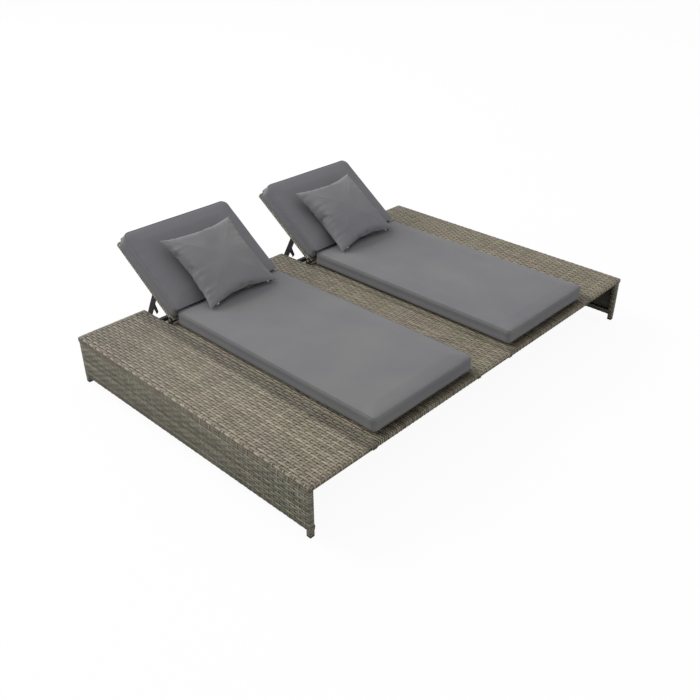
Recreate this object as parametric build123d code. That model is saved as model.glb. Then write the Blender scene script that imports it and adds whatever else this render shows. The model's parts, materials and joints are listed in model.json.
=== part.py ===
from build123d import *
import math
import os

# Double chaise lounger: a low woven platform with two reclining backrests, cushions and pillows.
# Lengths are in millimetres and angles in degrees. X runs across the platform, Y from the foot
# end to the head end and Z up. The origin is on the floor, under the middle of the lounger.

# Platform
platform_length = 1450.0
deck_height = 231.0
deck_width = 347.5
bay_width = 605.0
strip_width = 255.0
bed_length = 1296.0
leg_setback = 330.0
bottom_rail_height = 30.0

# Steel tube, woven skin and feet
tube_size = 20.0
tube_wall = 1.5
skin = 3.0
foot_flange = 4.0
foot_plug = 15.0
plug_clearance = 0.2
wrap_lift = 6.0

# Cross tube behind the hinge
cross_tube_from_front = 1314.0

# Places of repeated pieces, as shares of the length that they divide
deck_bearer_shares = (0.25, 0.5, 0.75)
seat_bearer_shares = (0.2, 0.4, 0.6, 0.8)
side_post_shares = (0.33, 0.67)

# Backrest
hinge_from_front = 1250.0
hinge_lift = 17.0
backrest_length = 447.0
backrest_side_gap = 6.5
rest_angle = 35.0
lift_range = 15.0
head_bearer_share = 0.68

# Hinge
hinge_pin_radius = 4.0
hinge_head_radius = 7.0
hinge_head_height = 2.5
hinge_pin_end = 7.0
bracket_thickness = 4.0
bracket_half_width = 16.0
bracket_top_radius = 14.0
running_clearance = 0.05
side_clearance = 0.3

# Stay that props the backrest
stay_pivot_along = 154.0
stay_pivot_below = 30.0
stay_lean = 27.5
stay_length = 180.0
stay_width = 29.0
stay_thickness = 5.0
stay_inset = 19.5
shaft_radius = 6.0
hook_start = 48.0
hook_shoulder = 68.0
hook_edge = 82.0
hook_tip = 89.0
hook_throat = 79.0
hook_reach = 45.0
hook_thickness = 10.0
lug_thickness = 4.0
lug_gap = 5.0
lug_half_width = 13.0

# Rack that the stay's foot rests in
rack_thickness = 5.0
rack_depth = 26.0
rack_end = 12.0
rack_step = 5.0
rack_samples = 2
rack_clearance = 0.4
notch_depth = 2.0
foot_pin_gap = 1.0
rack_screw_radius = 2.5
rack_screw_head = 5.0
rack_screw_height = 3.0

# Cushions
cushion_side_gap = 12.5
cushion_thickness = 77.0
cushion_crown = 6.0
cushion_tuck = 7.0
soft_gap = 0.3
seat_cushion_start = 32.0
seat_cushion_end = 1214.0
back_cushion_start = -8.0
back_cushion_end = 442.0
fold_clearance = 1.0

# Pillow
pillow_size = 396.0
pillow_front_bulge = 62.0
pillow_back_bulge = 40.0
pillow_edge = 4.0
pillow_along = 117.0
pillow_shift = 16.0

# Sections of the soft pieces, as shares: place along the length, width, height and crown
cushion_section_shares = (
    (0.0, 0.965, 0.86, 0.1),
    (0.012, 0.99, 0.97, 0.35),
    (0.04, 1.0, 1.0, 0.6),
    (0.3, 0.993, 1.0, 1.0),
    (0.5, 0.99, 1.0, 1.0),
    (0.7, 0.993, 1.0, 1.0),
    (0.96, 1.0, 1.0, 0.6),
    (0.988, 0.99, 0.97, 0.35),
    (1.0, 0.965, 0.86, 0.1),
)
# Place from the middle, thickness and width
pillow_section_shares = (
    (-1.0, 0.06, 1.0),
    (-0.93, 0.3, 0.98),
    (-0.78, 0.6, 0.96),
    (-0.5, 0.87, 0.945),
    (0.0, 1.0, 0.935),
    (0.5, 0.87, 0.945),
    (0.78, 0.6, 0.96),
    (0.93, 0.3, 0.98),
    (1.0, 0.06, 1.0),
)

# How far a cutting shape runs past what it cuts
overrun = 10.0

# Heights
rail_z = (deck_height - skin - tube_size, deck_height - skin)
bearer_z = (rail_z[0] - skin, rail_z[1] - skin)
bed_z = (rail_z[1] - skin, rail_z[1])
deck_skin_z = (rail_z[1], deck_height)
edge_z = (rail_z[0] - skin, deck_height)
leg_z = (foot_flange, rail_z[1])
inner_leg_z = (foot_flange, rail_z[0])
bottom_rail_z = (bottom_rail_height, bottom_rail_height + tube_size)
wrapped = tube_size + 2 * skin
half_wrapped = wrapped / 2
half_tube = tube_size / 2

# Places along Y
hinge_z = deck_height + hinge_lift
rest_cos = math.cos(math.radians(rest_angle))
rest_sin = math.sin(math.radians(rest_angle))
overall_depth = hinge_from_front + backrest_length * rest_cos + half_wrapped * rest_sin
front_y = -overall_depth / 2
rear_y = front_y + platform_length
hinge_y = front_y + hinge_from_front
bed_end_y = front_y + bed_length
front_tube_y = (front_y + skin, front_y + skin + tube_size)
rear_tube_y = (rear_y - skin - tube_size, rear_y - skin)
skin_y = (front_y + wrapped, rear_y - wrapped)
setback_y = (front_y + leg_setback, front_y + leg_setback + tube_size)
cross_tube_y = (front_y + cross_tube_from_front, front_y + cross_tube_from_front + tube_size)

# Places along X, on the positive side
half_strip = strip_width / 2
half_bay = bay_width / 2
bay_middle = half_strip + half_bay
deck_edge = half_strip + bay_width
half_platform = deck_edge + deck_width
outer_rail_x = (half_platform - skin - tube_size, half_platform - skin)
inner_rail_x = (deck_edge + skin, deck_edge + skin + tube_size)
strip_rail_x = (half_strip - skin - tube_size, half_strip - skin)

# Backrest places, measured along it from the hinge, square to it and from the bay's middle
backrest_half = half_bay - backrest_side_gap
side_tube_x = (backrest_half - skin - tube_size, backrest_half - skin)
backrest_end = backrest_length - skin
cushion_width = bay_width - 2 * cushion_side_gap
stay_x = (backrest_half - stay_inset - stay_thickness, backrest_half - stay_inset)
lug_x = (stay_x[0] - lug_gap - lug_thickness, stay_x[0] - lug_gap)
rack_x = (half_bay + skin - rack_thickness, half_bay + skin)
pillow_above = half_wrapped + cushion_thickness + cushion_crown + pillow_edge / 2 + pillow_back_bulge
stay_pivot_y = hinge_y + stay_pivot_along * rest_cos + stay_pivot_below * rest_sin
stay_pivot_z = hinge_z + stay_pivot_along * rest_sin - stay_pivot_below * rest_cos
# The stay swings this many degrees for each degree of the backrest, so its foot slides level
swing_ratio = (stay_pivot_y - hinge_y) / (stay_length * math.sin(math.radians(stay_lean)))


def block(x, y, z):
    """Box between pairs of limits."""
    sizes = [abs(high - low) for low, high in (x, y, z)]
    middles = [(low + high) / 2 for low, high in (x, y, z)]
    return Pos(*middles) * Box(*sizes)


def square_tube(x, y, z, along):
    """Square tube between limits, open at both ends along one axis."""
    inner = []
    for name, (low, high) in zip("xyz", (x, y, z)):
        if name == along:
            inner.append((low - overrun, high + overrun))
        else:
            inner.append((low + tube_wall, high - tube_wall))
    return block(x, y, z) - block(*inner)


def cross_rod(radius, x, y, z):
    """Round rod along X between two limits."""
    middle = (x[0] + x[1]) / 2
    return Pos(middle, y, z) * Rot(0, 90, 0) * Cylinder(radius, abs(x[1] - x[0]))


def mirrored(shapes):
    """The shapes and their mirror images across the middle of the lounger."""
    return shapes + [mirror(shape, Plane.YZ) for shape in shapes]


def flipped(x):
    """The same limits on the negative side."""
    return (-x[1], -x[0])


def between(limits, share):
    """Limits of a tube placed at a share of the way between two places."""
    middle = limits[0] + (limits[1] - limits[0]) * share
    return (middle - half_tube, middle + half_tube)


def front_beam():
    """Tube along the foot end, between the corner legs."""
    return [square_tube((-outer_rail_x[0], outer_rail_x[0]), front_tube_y, rail_z, "x")]


def channel(x, y, z, inner_x, inner_y):
    """Skin wrapped over a tube, open along the side where the rails meet the tube."""
    return block(x, y, z) - block(inner_x, inner_y, rail_z)


def front_beam_wrap():
    """Woven wrap over the top, front and underside of the front beam."""
    x = (-outer_rail_x[0] + skin, outer_rail_x[0] - skin)
    inner_x = (-outer_rail_x[0], outer_rail_x[0])
    inner_y = (front_tube_y[0], skin_y[0] + overrun)
    return [channel(x, (front_y, skin_y[0]), edge_z, inner_x, inner_y)]


def rear_wraps():
    """Woven wraps over the head ends of both decks and of the centre strip."""
    inner_y = (skin_y[1] - overrun, rear_tube_y[1])
    outer = (skin_y[1], rear_y)
    deck_x = (deck_edge, outer_rail_x[0] - skin)
    deck = channel(deck_x, outer, edge_z, (inner_rail_x[0], outer_rail_x[1]), inner_y)
    strip = channel((-half_strip, half_strip), outer, edge_z, (-strip_rail_x[1], strip_rail_x[1]), inner_y)
    legs = inner_leg_places(rear_tube_y)
    shapes = mirrored([deck]) + [strip]
    return [cut_by(shape, legs) for shape in shapes]


def cut_by(shape, tools):
    """A shape less each of the solid places that pass through it."""
    for tool in tools:
        shape = shape - tool
    return shape


def inner_leg_places(y):
    """Solid places of the four inner legs that stand at one place along Y."""
    z = (0, rail_z[0])
    return mirrored([block(inner_rail_x, y, z), block(strip_rail_x, y, z)])


def deck_rails(side):
    """Outer and inner rail of one deck."""
    outer = square_tube(outer_rail_x, (front_tube_y[1], rear_tube_y[0]), rail_z, "y")
    inner = square_tube(inner_rail_x, (front_tube_y[1], rear_tube_y[1]), rail_z, "y")
    return on_side([outer, inner], side)


def on_side(shapes, side):
    """Shapes that were made on the positive side, put on the left or the right."""
    return shapes if side == "right" else [mirror(shape, Plane.YZ) for shape in shapes]


def centre_strip_rails():
    """The two long rails of the centre strip."""
    return mirrored([square_tube(strip_rail_x, (front_tube_y[1], rear_tube_y[1]), rail_z, "y")])


def rear_rails():
    """Tubes that close the head ends of the decks and of the centre strip."""
    deck = square_tube((inner_rail_x[1], outer_rail_x[0]), rear_tube_y, rail_z, "x")
    strip = square_tube((-strip_rail_x[0], strip_rail_x[0]), rear_tube_y, rail_z, "x")
    return mirrored([deck]) + [strip]


def deck_bearers(side):
    """Cross tubes under one deck."""
    x = (inner_rail_x[1], outer_rail_x[0])
    run = (front_tube_y[1], rear_tube_y[0])
    tubes = [square_tube(x, between(run, share), rail_z, "x") for share in deck_bearer_shares]
    return on_side(tubes, side)


def centre_strip_bearers():
    """Cross tubes under the centre strip."""
    x = (-strip_rail_x[0], strip_rail_x[0])
    run = (front_tube_y[1], rear_tube_y[0])
    return [square_tube(x, between(run, share), rail_z, "x") for share in deck_bearer_shares]


def seat_bearer_places():
    """Limits along Y of the cross tubes under a seat bed, the last one at its head end."""
    run = (front_tube_y[1], bed_end_y)
    places = [between(run, share) for share in seat_bearer_shares]
    return places + [(bed_end_y - skin - tube_size, bed_end_y - skin)]


def seat_bearers(side):
    """Cross tubes under one seat bed."""
    x = (strip_rail_x[1], inner_rail_x[0])
    return on_side([square_tube(x, y, bearer_z, "x") for y in seat_bearer_places()], side)


def bay_cross_tubes():
    """Tube across each bay, behind the hinge, that the stay's hooks catch when the back is low."""
    return mirrored([square_tube((strip_rail_x[1], inner_rail_x[0]), cross_tube_y, rail_z, "x")])


def corner_leg(side, y):
    """Leg at one corner of the platform."""
    return on_side([square_tube(outer_rail_x, y, leg_z, "z")], side)


def inner_legs():
    """Legs under the inner deck rails and the strip rails, set back from the foot end."""
    shapes = []
    for x in (inner_rail_x, strip_rail_x):
        for y in (setback_y, rear_tube_y):
            shapes.append(square_tube(x, y, inner_leg_z, "z"))
    shapes = mirrored(shapes)
    screws = mirrored([Pos(-bay_middle, 0, 0) * tool for tool in rack_screw_holes()])
    screws = screws + mirrored([Pos(bay_middle, 0, 0) * tool for tool in rack_screw_holes()])
    return [cut_by(shape, screws) for shape in shapes]


def bottom_rails():
    """Tube along the foot of each side panel."""
    return mirrored([square_tube(outer_rail_x, (front_tube_y[1], rear_tube_y[0]), bottom_rail_z, "y")])


def side_posts():
    """Upright tubes inside each side panel."""
    run = (front_tube_y[1], rear_tube_y[0])
    z = (bottom_rail_z[1], rail_z[0])
    return mirrored([square_tube(outer_rail_x, between(run, share), z, "z") for share in side_post_shares])


def foot_cap(x, y):
    """Plastic foot pushed into the lower end of a leg."""
    inset = tube_wall + plug_clearance
    flange = block(x, y, (0, foot_flange))
    plug = block((x[0] + inset, x[1] - inset), (y[0] + inset, y[1] - inset), (0, foot_flange + foot_plug))
    return flange + plug


def foot_caps():
    """Feet of the corner legs and of the inner legs."""
    places = [(outer_rail_x, front_tube_y), (outer_rail_x, rear_tube_y)]
    for x in (inner_rail_x, strip_rail_x):
        places += [(x, setback_y), (x, rear_tube_y)]
    return mirrored([foot_cap(x, y) for x, y in places])


def corner_leg_wraps():
    """Woven sleeves round the corner legs, closed over the top."""
    x = (outer_rail_x[0] - skin, half_platform)
    shapes = []
    for outer, tube in (((front_y, skin_y[0]), front_tube_y), ((skin_y[1], rear_y), rear_tube_y)):
        sleeve = block(x, outer, (wrap_lift, deck_height)) - block(outer_rail_x, tube, (0, rail_z[1]))
        rails = block(outer_rail_x, (front_tube_y[1], rear_tube_y[0]), rail_z)
        lower_rails = block(outer_rail_x, (front_tube_y[1], rear_tube_y[0]), bottom_rail_z)
        beam = block((0, outer_rail_x[0]), tube, rail_z)
        shapes.append(cut_by(sleeve, [rails, lower_rails, beam]))
    return mirrored(shapes)


def deck_weave(side):
    """Woven top of one deck."""
    return on_side([block((inner_rail_x[0], outer_rail_x[1]), skin_y, deck_skin_z)], side)


def centre_strip_weave():
    """Woven top of the centre strip."""
    return [block((-strip_rail_x[1], strip_rail_x[1]), skin_y, deck_skin_z)]


def side_weave(side):
    """Woven panel down one side of the platform."""
    z = (bottom_rail_z[0] - skin, deck_height)
    return on_side([block((outer_rail_x[1], half_platform), skin_y, z)], side)


def bottom_rail_wraps():
    """Woven binding under and behind each bottom rail."""
    x = (outer_rail_x[0] - skin, outer_rail_x[1])
    z = (bottom_rail_z[0] - skin, bottom_rail_z[1])
    rail = block(outer_rail_x, skin_y, (bottom_rail_z[0], bottom_rail_z[1] + overrun))
    return mirrored([block(x, skin_y, z) - rail])


def bay_edge_wraps():
    """Woven facing of the four rails that edge the bays."""
    tubes = [block((0, half_platform), y, bearer_z) for y in seat_bearer_places()]
    tubes.append(block((0, half_platform), cross_tube_y, rail_z))
    deck_side = block((deck_edge, inner_rail_x[0]), skin_y, edge_z)
    strip_side = block((strip_rail_x[1], half_strip), skin_y, edge_z)
    return mirrored([cut_by(deck_side, tubes), cut_by(strip_side, tubes)])


def seat_weave(side):
    """Woven seat bed of one bay, let in round the hinge brackets."""
    bed = block((half_strip, deck_edge), (skin_y[0], bed_end_y), bed_z)
    brackets = [Pos(bay_middle, 0, 0) * place for place in bracket_places()]
    return on_side([cut_by(bed, brackets)], side)


def bracket_places():
    """Solid places of both hinge brackets of a bay, from the bay's middle."""
    x = (half_bay - bracket_thickness, half_bay)
    plate = block(x, (hinge_y - bracket_half_width, hinge_y + bracket_half_width), (rail_z[0], hinge_z))
    top = cross_rod(bracket_top_radius, x, hinge_y, hinge_z)
    return mirrored([plate + top])


def in_bay(shapes, side):
    """Shapes made about a bay's middle, put in the left or right bay."""
    shift = bay_middle if side == "right" else -bay_middle
    return [Pos(shift, 0, 0) * shape for shape in shapes]


def hinge_brackets(side):
    """Plates that carry the hinge pins, on the rails at both sides of a bay."""
    pin = cross_rod(hinge_pin_radius, (-half_bay - overrun, half_bay + overrun), hinge_y, hinge_z)
    return in_bay([plate - pin for plate in bracket_places()], side)


def hinge_pins():
    """Headed pins of both backrests, each with a collar between bracket and backrest."""
    shapes = []
    inner_end = side_tube_x[0] - hinge_pin_end
    pin = cross_rod(hinge_pin_radius, (inner_end, half_bay), hinge_y, hinge_z)
    head = cross_rod(hinge_head_radius, (half_bay, half_bay + hinge_head_height), hinge_y, hinge_z)
    collar_x = (backrest_half + side_clearance, half_bay - bracket_thickness)
    collar = cross_rod(hinge_head_radius, collar_x, hinge_y, hinge_z)
    pair = mirrored([pin + head + collar])
    for side in ("left", "right"):
        shapes += in_bay(pair, side)
    return shapes


def on_backrest(shapes, side):
    """Shapes made along Y from the hinge, turned to the rest angle and put in their bay."""
    place = Pos(0, hinge_y, hinge_z) * Rot(rest_angle, 0, 0)
    return in_bay([place * shape for shape in shapes], side)


def backrest_side_tubes(side):
    """Long tubes of the backrest frame, bored for the hinge pins."""
    tube = square_tube(side_tube_x, (-half_tube, backrest_end), (-half_tube, half_tube), "y")
    bore = cross_rod(hinge_pin_radius + running_clearance, (0, half_bay), 0, 0)
    return on_backrest(mirrored([tube - bore]), side)


def backrest_cross_places():
    """Limits along the backrest of its bottom, stay, upper and top cross tubes."""
    places = [0.0, stay_pivot_along, backrest_length * head_bearer_share, backrest_end - half_tube]
    return [(place - half_tube, place + half_tube) for place in places]


def backrest_cross_tubes(side):
    """Cross tubes of the backrest frame."""
    x = (-side_tube_x[0], side_tube_x[0])
    z = (-half_tube, half_tube)
    return on_backrest([square_tube(x, y, z, "x") for y in backrest_cross_places()], side)


def backrest_wraps(side):
    """Woven wraps round the outer, under and inner faces of the frame's four edge tubes."""
    z = (-half_wrapped, half_tube)
    tube_z = (-half_tube, half_wrapped)
    side_wrap = block((side_tube_x[0] - skin, backrest_half), (-half_wrapped, backrest_length), z)
    side_wrap = side_wrap - block(side_tube_x, (-half_tube, backrest_end), tube_z)
    places = backrest_cross_places()
    side_wrap = cut_by(side_wrap, [block((0, side_tube_x[0]), y, tube_z) for y in places])
    bore = cross_rod(hinge_pin_radius + running_clearance, (0, half_bay), 0, 0)
    inner = side_tube_x[0] - skin
    ends = []
    for y in (places[0], places[-1]):
        wrap = block((-inner, inner), (y[0] - skin, y[1] + skin), z)
        ends.append(wrap - block((-inner, inner), y, tube_z))
    return on_backrest(mirrored([side_wrap - bore]) + ends, side)


def backrest_weave(side):
    """Woven panel over the front of the backrest frame."""
    y = (-half_wrapped, backrest_length)
    return on_backrest([block((-backrest_half, backrest_half), y, (half_tube, half_wrapped))], side)


def stay_lugs(side):
    """Plates under the backrest's stay tube, bored for the stay's shaft."""
    y = (stay_pivot_along - lug_half_width, stay_pivot_along + lug_half_width)
    plate = block(lug_x, y, (-stay_pivot_below, -half_tube))
    plate = plate + cross_rod(lug_half_width, lug_x, stay_pivot_along, -stay_pivot_below)
    bore_x = (lug_x[0] - overrun, lug_x[1] + overrun)
    bore = cross_rod(shaft_radius + running_clearance, bore_x, stay_pivot_along, -stay_pivot_below)
    return on_backrest(mirrored([plate - bore]), side)


def stay_profile():
    """Outline of a stay plate: a round-ended bar with a forward hook, its pivot at the origin."""
    half = stay_width / 2
    bar = Pos(0, -stay_length / 2) * Rectangle(stay_width, stay_length)
    bar = bar + Circle(half) + Pos(0, -stay_length) * Circle(half)
    hook = Polyline(
        (0, -hook_start),
        (-half, -hook_start),
        (-hook_reach, -hook_shoulder),
        (-hook_reach, -hook_edge),
        (-hook_reach + hook_thickness / 2, -hook_tip),
        (-hook_reach + hook_thickness, -hook_edge),
        (-half - hook_thickness / 2, -hook_throat),
        (0, -hook_throat),
        close=True,
    )
    return bar + make_face(hook)


def on_stay(shapes, side):
    """Shapes made hanging down from the stay's pivot, leaned to rest and put in their bay."""
    place = Pos(0, stay_pivot_y, stay_pivot_z) * Rot(stay_lean, 0, 0)
    return in_bay([place * shape for shape in shapes], side)


def stay_plates(side):
    """The two hooked plates of a stay."""
    plate = Pos(stay_x[0], 0, 0) * extrude(Plane.YZ * stay_profile(), stay_thickness)
    reach = (stay_x[0] - overrun, stay_x[1] + overrun)
    bores = [cross_rod(shaft_radius, reach, 0, 0), cross_rod(shaft_radius, reach, 0, -stay_length)]
    return on_stay(mirrored([cut_by(plate, bores)]), side)


def stay_shaft(side):
    """Shaft that turns in the lugs and joins both stay plates."""
    return on_stay([cross_rod(shaft_radius, (-stay_x[1], stay_x[1]), 0, 0)], side)


def stay_foot_pins(side):
    """Pins at the feet of the stay plates, which reach out over the racks."""
    x = (stay_x[0], half_bay + skin - foot_pin_gap)
    return on_stay(mirrored([cross_rod(shaft_radius, x, 0, -stay_length)]), side)


def foot_place(lift):
    """Place of the stay's foot pin with the backrest raised from rest by a number of degrees."""
    angle = math.radians(rest_angle + lift)
    lean = math.radians(stay_lean - swing_ratio * lift)
    y = hinge_y + stay_pivot_along * math.cos(angle) + stay_pivot_below * math.sin(angle)
    z = hinge_z + stay_pivot_along * math.sin(angle) - stay_pivot_below * math.cos(angle)
    return y + stay_length * math.sin(lean), z - stay_length * math.cos(lean)


def rack_plates(side):
    """Notched plates on the rear inner legs, just under the path of the stay's foot pins."""
    steps = round(lift_range / rack_step)
    drop = shaft_radius + rack_clearance
    lifts = [lift_range * k / (steps * rack_samples) for k in range(steps * rack_samples + 1)]
    top = [(y, z - drop) for y, z in (foot_place(lift) for lift in lifts)]
    first, last = top[0], top[-1]
    low = first[1] - rack_depth
    rear = (first[0] + rack_end, first[1])
    front = (last[0] - rack_end, last[1])
    outline = [rear] + top + [front, (front[0], low), (rear[0], low)]
    plate = extrude(Plane.YZ * make_face(Polyline(*outline, close=True)), rack_thickness)
    plate = Pos(rack_x[0], 0, 0) * plate
    notches = []
    for k in range(steps + 1):
        y, z = foot_place(rack_step * k)
        notches.append(cross_rod(drop, (rack_x[0] - overrun, rack_x[1] + overrun), y, z - notch_depth))
    plate = cut_by(cut_by(plate, notches), rack_screw_holes())
    return in_bay(mirrored([plate]), side)


def rack_screw_places():
    """Places along Y and Z of the two screws of a rack, in the middle of the leg."""
    y = (rear_tube_y[0] + rear_tube_y[1]) / 2
    top = foot_place(0)[1] - shaft_radius - notch_depth - rack_screw_head
    return [(y - rack_screw_head, top - rack_screw_head), (y + rack_screw_head, top - 2 * rack_screw_head)]


def rack_screw_holes():
    """Bores for the rack screws, through the rack and the facing wall of its leg."""
    x = (rack_x[0] - overrun, rack_x[1] + tube_wall)
    return [cross_rod(rack_screw_radius, x, y, z) for y, z in rack_screw_places()]


def rack_screws():
    """Screws that hold the racks to their legs."""
    screws = []
    for y, z in rack_screw_places():
        shank = cross_rod(rack_screw_radius, (rack_x[0], rack_x[1] + tube_wall), y, z)
        head = cross_rod(rack_screw_head - 2 * side_clearance, (rack_x[0] - rack_screw_height, rack_x[0]), y, z)
        screws.append(shank + head)
    return in_bay(mirrored(screws), "left") + in_bay(mirrored(screws), "right")


def cushion_section(place, width, height, crown):
    """Cross section of a boxed cushion: flat below, bowed sides and a crowned top."""
    half = width / 2
    tucked = half - cushion_tuck
    outline = [
        Line((-tucked, 0), (tucked, 0)),
        ThreePointArc((tucked, 0), (half, height / 2), (tucked, height)),
        ThreePointArc((tucked, height), (0, height + crown), (-tucked, height)),
        ThreePointArc((-tucked, height), (-half, height / 2), (-tucked, 0)),
    ]
    plane = Plane(origin=(0, place, 0), x_dir=(1, 0, 0), z_dir=(0, -1, 0))
    return plane * make_face(outline)


def cushion(start, end):
    """Boxed cushion along Y, resting on its flat underside at height zero."""
    sections = []
    for place, width, height, crown in cushion_section_shares:
        y = start + (end - start) * place
        section = cushion_section(y, cushion_width * width, cushion_thickness * height, cushion_crown * crown)
        sections.append(section)
    return loft(sections, ruled=True)


def seat_cushion(side):
    """Cushion of one seat bed."""
    pad = cushion(front_y + seat_cushion_start, front_y + seat_cushion_end)
    return in_bay([Pos(0, 0, bed_z[1] + soft_gap) * pad], side)


def back_cushion(side):
    """Cushion of one backrest, cut back where the seat cushion comes when the back is highest."""
    pad = Pos(0, 0, half_wrapped + soft_gap) * cushion(back_cushion_start, back_cushion_end)
    seat_end = seat_cushion_end - hinge_from_front + fold_clearance
    seat_top = bed_z[1] + soft_gap + cushion_thickness + cushion_crown - hinge_z + fold_clearance
    seat = block((-half_bay, half_bay), (seat_end - bay_width, seat_end), (seat_top - bay_width, seat_top))
    return on_backrest([pad - Rot(-rest_angle - lift_range, 0, 0) * seat], side)


def pillow_section(place, thickness, width):
    """Cross section of a pillow: two bows that meet in a thin edge at each side."""
    half = width / 2
    edge = pillow_edge / 2
    front = edge + pillow_front_bulge * thickness
    back = edge + pillow_back_bulge * thickness
    outline = [
        Line((-half, edge), (-half, -edge)),
        ThreePointArc((-half, -edge), (0, -back), (half, -edge)),
        Line((half, -edge), (half, edge)),
        ThreePointArc((half, edge), (0, front), (-half, edge)),
    ]
    plane = Plane(origin=(0, place, 0), x_dir=(1, 0, 0), z_dir=(0, -1, 0))
    return plane * make_face(outline)


def pillow(side):
    """Scatter pillow that leans on the back cushion."""
    sections = []
    for place, thickness, width in pillow_section_shares:
        sections.append(pillow_section(pillow_size / 2 * place, thickness, pillow_size * width))
    shift = -pillow_shift if side == "right" else pillow_shift
    body = Pos(shift, pillow_along, pillow_above + 2 * soft_gap) * loft(sections, ruled=True)
    return on_backrest([body], side)


def all_nodes():
    """Every sub-part of the lounger by name, each a list of separate solids."""
    nodes = {
        "front_beam": front_beam(),
        "front_beam_wrap": front_beam_wrap(),
        "centre_strip_rails": centre_strip_rails(),
        "centre_strip_bearers": centre_strip_bearers(),
        "centre_strip_weave": centre_strip_weave(),
        "rear_rails": rear_rails(),
        "rear_wraps": rear_wraps(),
        "bay_cross_tubes": bay_cross_tubes(),
        "bay_edge_wraps": bay_edge_wraps(),
        "bottom_rails": bottom_rails(),
        "bottom_rail_wraps": bottom_rail_wraps(),
        "side_posts": side_posts(),
        "inner_legs": inner_legs(),
        "corner_leg_wraps": corner_leg_wraps(),
        "foot_caps": foot_caps(),
        "hinge_pins": hinge_pins(),
        "rack_screws": rack_screws(),
    }
    per_side = {
        "deck_rails": deck_rails,
        "deck_bearers": deck_bearers,
        "deck_weave": deck_weave,
        "side_weave": side_weave,
        "seat_bearers": seat_bearers,
        "seat_weave": seat_weave,
        "seat_cushion": seat_cushion,
        "hinge_brackets": hinge_brackets,
        "rack_plates": rack_plates,
        "backrest_side_tubes": backrest_side_tubes,
        "backrest_cross_tubes": backrest_cross_tubes,
        "backrest_wraps": backrest_wraps,
        "backrest_weave": backrest_weave,
        "stay_lugs": stay_lugs,
        "back_cushion": back_cushion,
        "pillow": pillow,
        "stay_plates": stay_plates,
        "stay_shaft": stay_shaft,
        "stay_foot_pins": stay_foot_pins,
    }
    for side in ("left", "right"):
        nodes[f"front_{side}_leg"] = corner_leg(side, front_tube_y)
        nodes[f"rear_{side}_leg"] = corner_leg(side, rear_tube_y)
        for name, make in per_side.items():
            nodes[f"{side}_{name}"] = make(side)
    return nodes


os.makedirs("parts", exist_ok=True)
for node, shapes in all_nodes().items():
    solids = [solid for shape in shapes for solid in shape.solids()]
    export_step(Compound(solids), f"parts/{node}.step")
print("depth", round(overall_depth, 2), "hinge", round(hinge_y, 2), round(hinge_z, 2))
print("stay pivot", round(stay_pivot_y, 2), round(stay_pivot_z, 2), "swing ratio", round(swing_ratio, 4))
for lift in (-rest_angle, 0, rack_step, lift_range):
    print("foot pin at lift", lift, [round(value, 1) for value in foot_place(lift)])
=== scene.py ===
import json
import math
import random

import bmesh
import bpy
from mathutils import Matrix, Vector, noise
from mathutils.bvhtree import BVHTree
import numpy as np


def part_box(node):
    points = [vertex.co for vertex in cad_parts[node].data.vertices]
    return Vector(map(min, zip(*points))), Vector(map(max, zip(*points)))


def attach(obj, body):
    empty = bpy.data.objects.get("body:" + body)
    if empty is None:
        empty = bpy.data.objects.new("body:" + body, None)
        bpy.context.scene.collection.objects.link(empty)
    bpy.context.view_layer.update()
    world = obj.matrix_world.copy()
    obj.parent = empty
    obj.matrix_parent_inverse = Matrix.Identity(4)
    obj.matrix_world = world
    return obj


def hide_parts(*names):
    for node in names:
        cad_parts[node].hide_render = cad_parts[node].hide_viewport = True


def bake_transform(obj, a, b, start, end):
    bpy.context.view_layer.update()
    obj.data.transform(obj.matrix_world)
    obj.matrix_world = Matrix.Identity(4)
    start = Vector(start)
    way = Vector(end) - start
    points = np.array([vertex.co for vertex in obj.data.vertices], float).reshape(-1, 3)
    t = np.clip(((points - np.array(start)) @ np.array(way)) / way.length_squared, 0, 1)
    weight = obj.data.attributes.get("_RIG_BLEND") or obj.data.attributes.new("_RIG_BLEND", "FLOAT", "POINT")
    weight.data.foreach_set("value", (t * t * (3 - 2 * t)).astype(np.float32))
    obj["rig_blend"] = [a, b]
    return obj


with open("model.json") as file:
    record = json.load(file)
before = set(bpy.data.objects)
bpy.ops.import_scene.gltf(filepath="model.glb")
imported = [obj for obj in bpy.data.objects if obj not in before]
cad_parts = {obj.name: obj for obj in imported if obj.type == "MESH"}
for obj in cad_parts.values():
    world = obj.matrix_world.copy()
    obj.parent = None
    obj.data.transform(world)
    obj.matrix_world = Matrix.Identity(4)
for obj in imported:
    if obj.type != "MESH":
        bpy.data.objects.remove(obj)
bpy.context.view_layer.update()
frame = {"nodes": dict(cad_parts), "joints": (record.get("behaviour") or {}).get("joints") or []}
hinges = {joint["name"]: Vector(joint["pos_m"]) for joint in frame["joints"]}

bl_info = {
    "name": "Double chaise lounger",
    "version": (1, 0, 0),
    "blender": (4, 5, 0),
    "location": "View3D > Sidebar > Lounger",
    "description": "Dresses the lounger's frame in wicker, cushions and pillows",
    "category": "Object",
}

SIDES = ("left", "right")
STEEL_NODES = (
    "front_beam", "centre_strip_rails", "centre_strip_bearers", "rear_rails", "bay_cross_tubes",
    "bottom_rails", "side_posts", "inner_legs", "front_left_leg", "front_right_leg",
    "rear_left_leg", "rear_right_leg",
)
SIDE_STEEL_NODES = (
    "deck_rails", "deck_bearers", "seat_bearers", "hinge_brackets", "rack_plates",
    "backrest_side_tubes", "backrest_cross_tubes", "stay_lugs", "stay_plates", "stay_shaft",
    "stay_foot_pins",
)


# Settings

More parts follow.
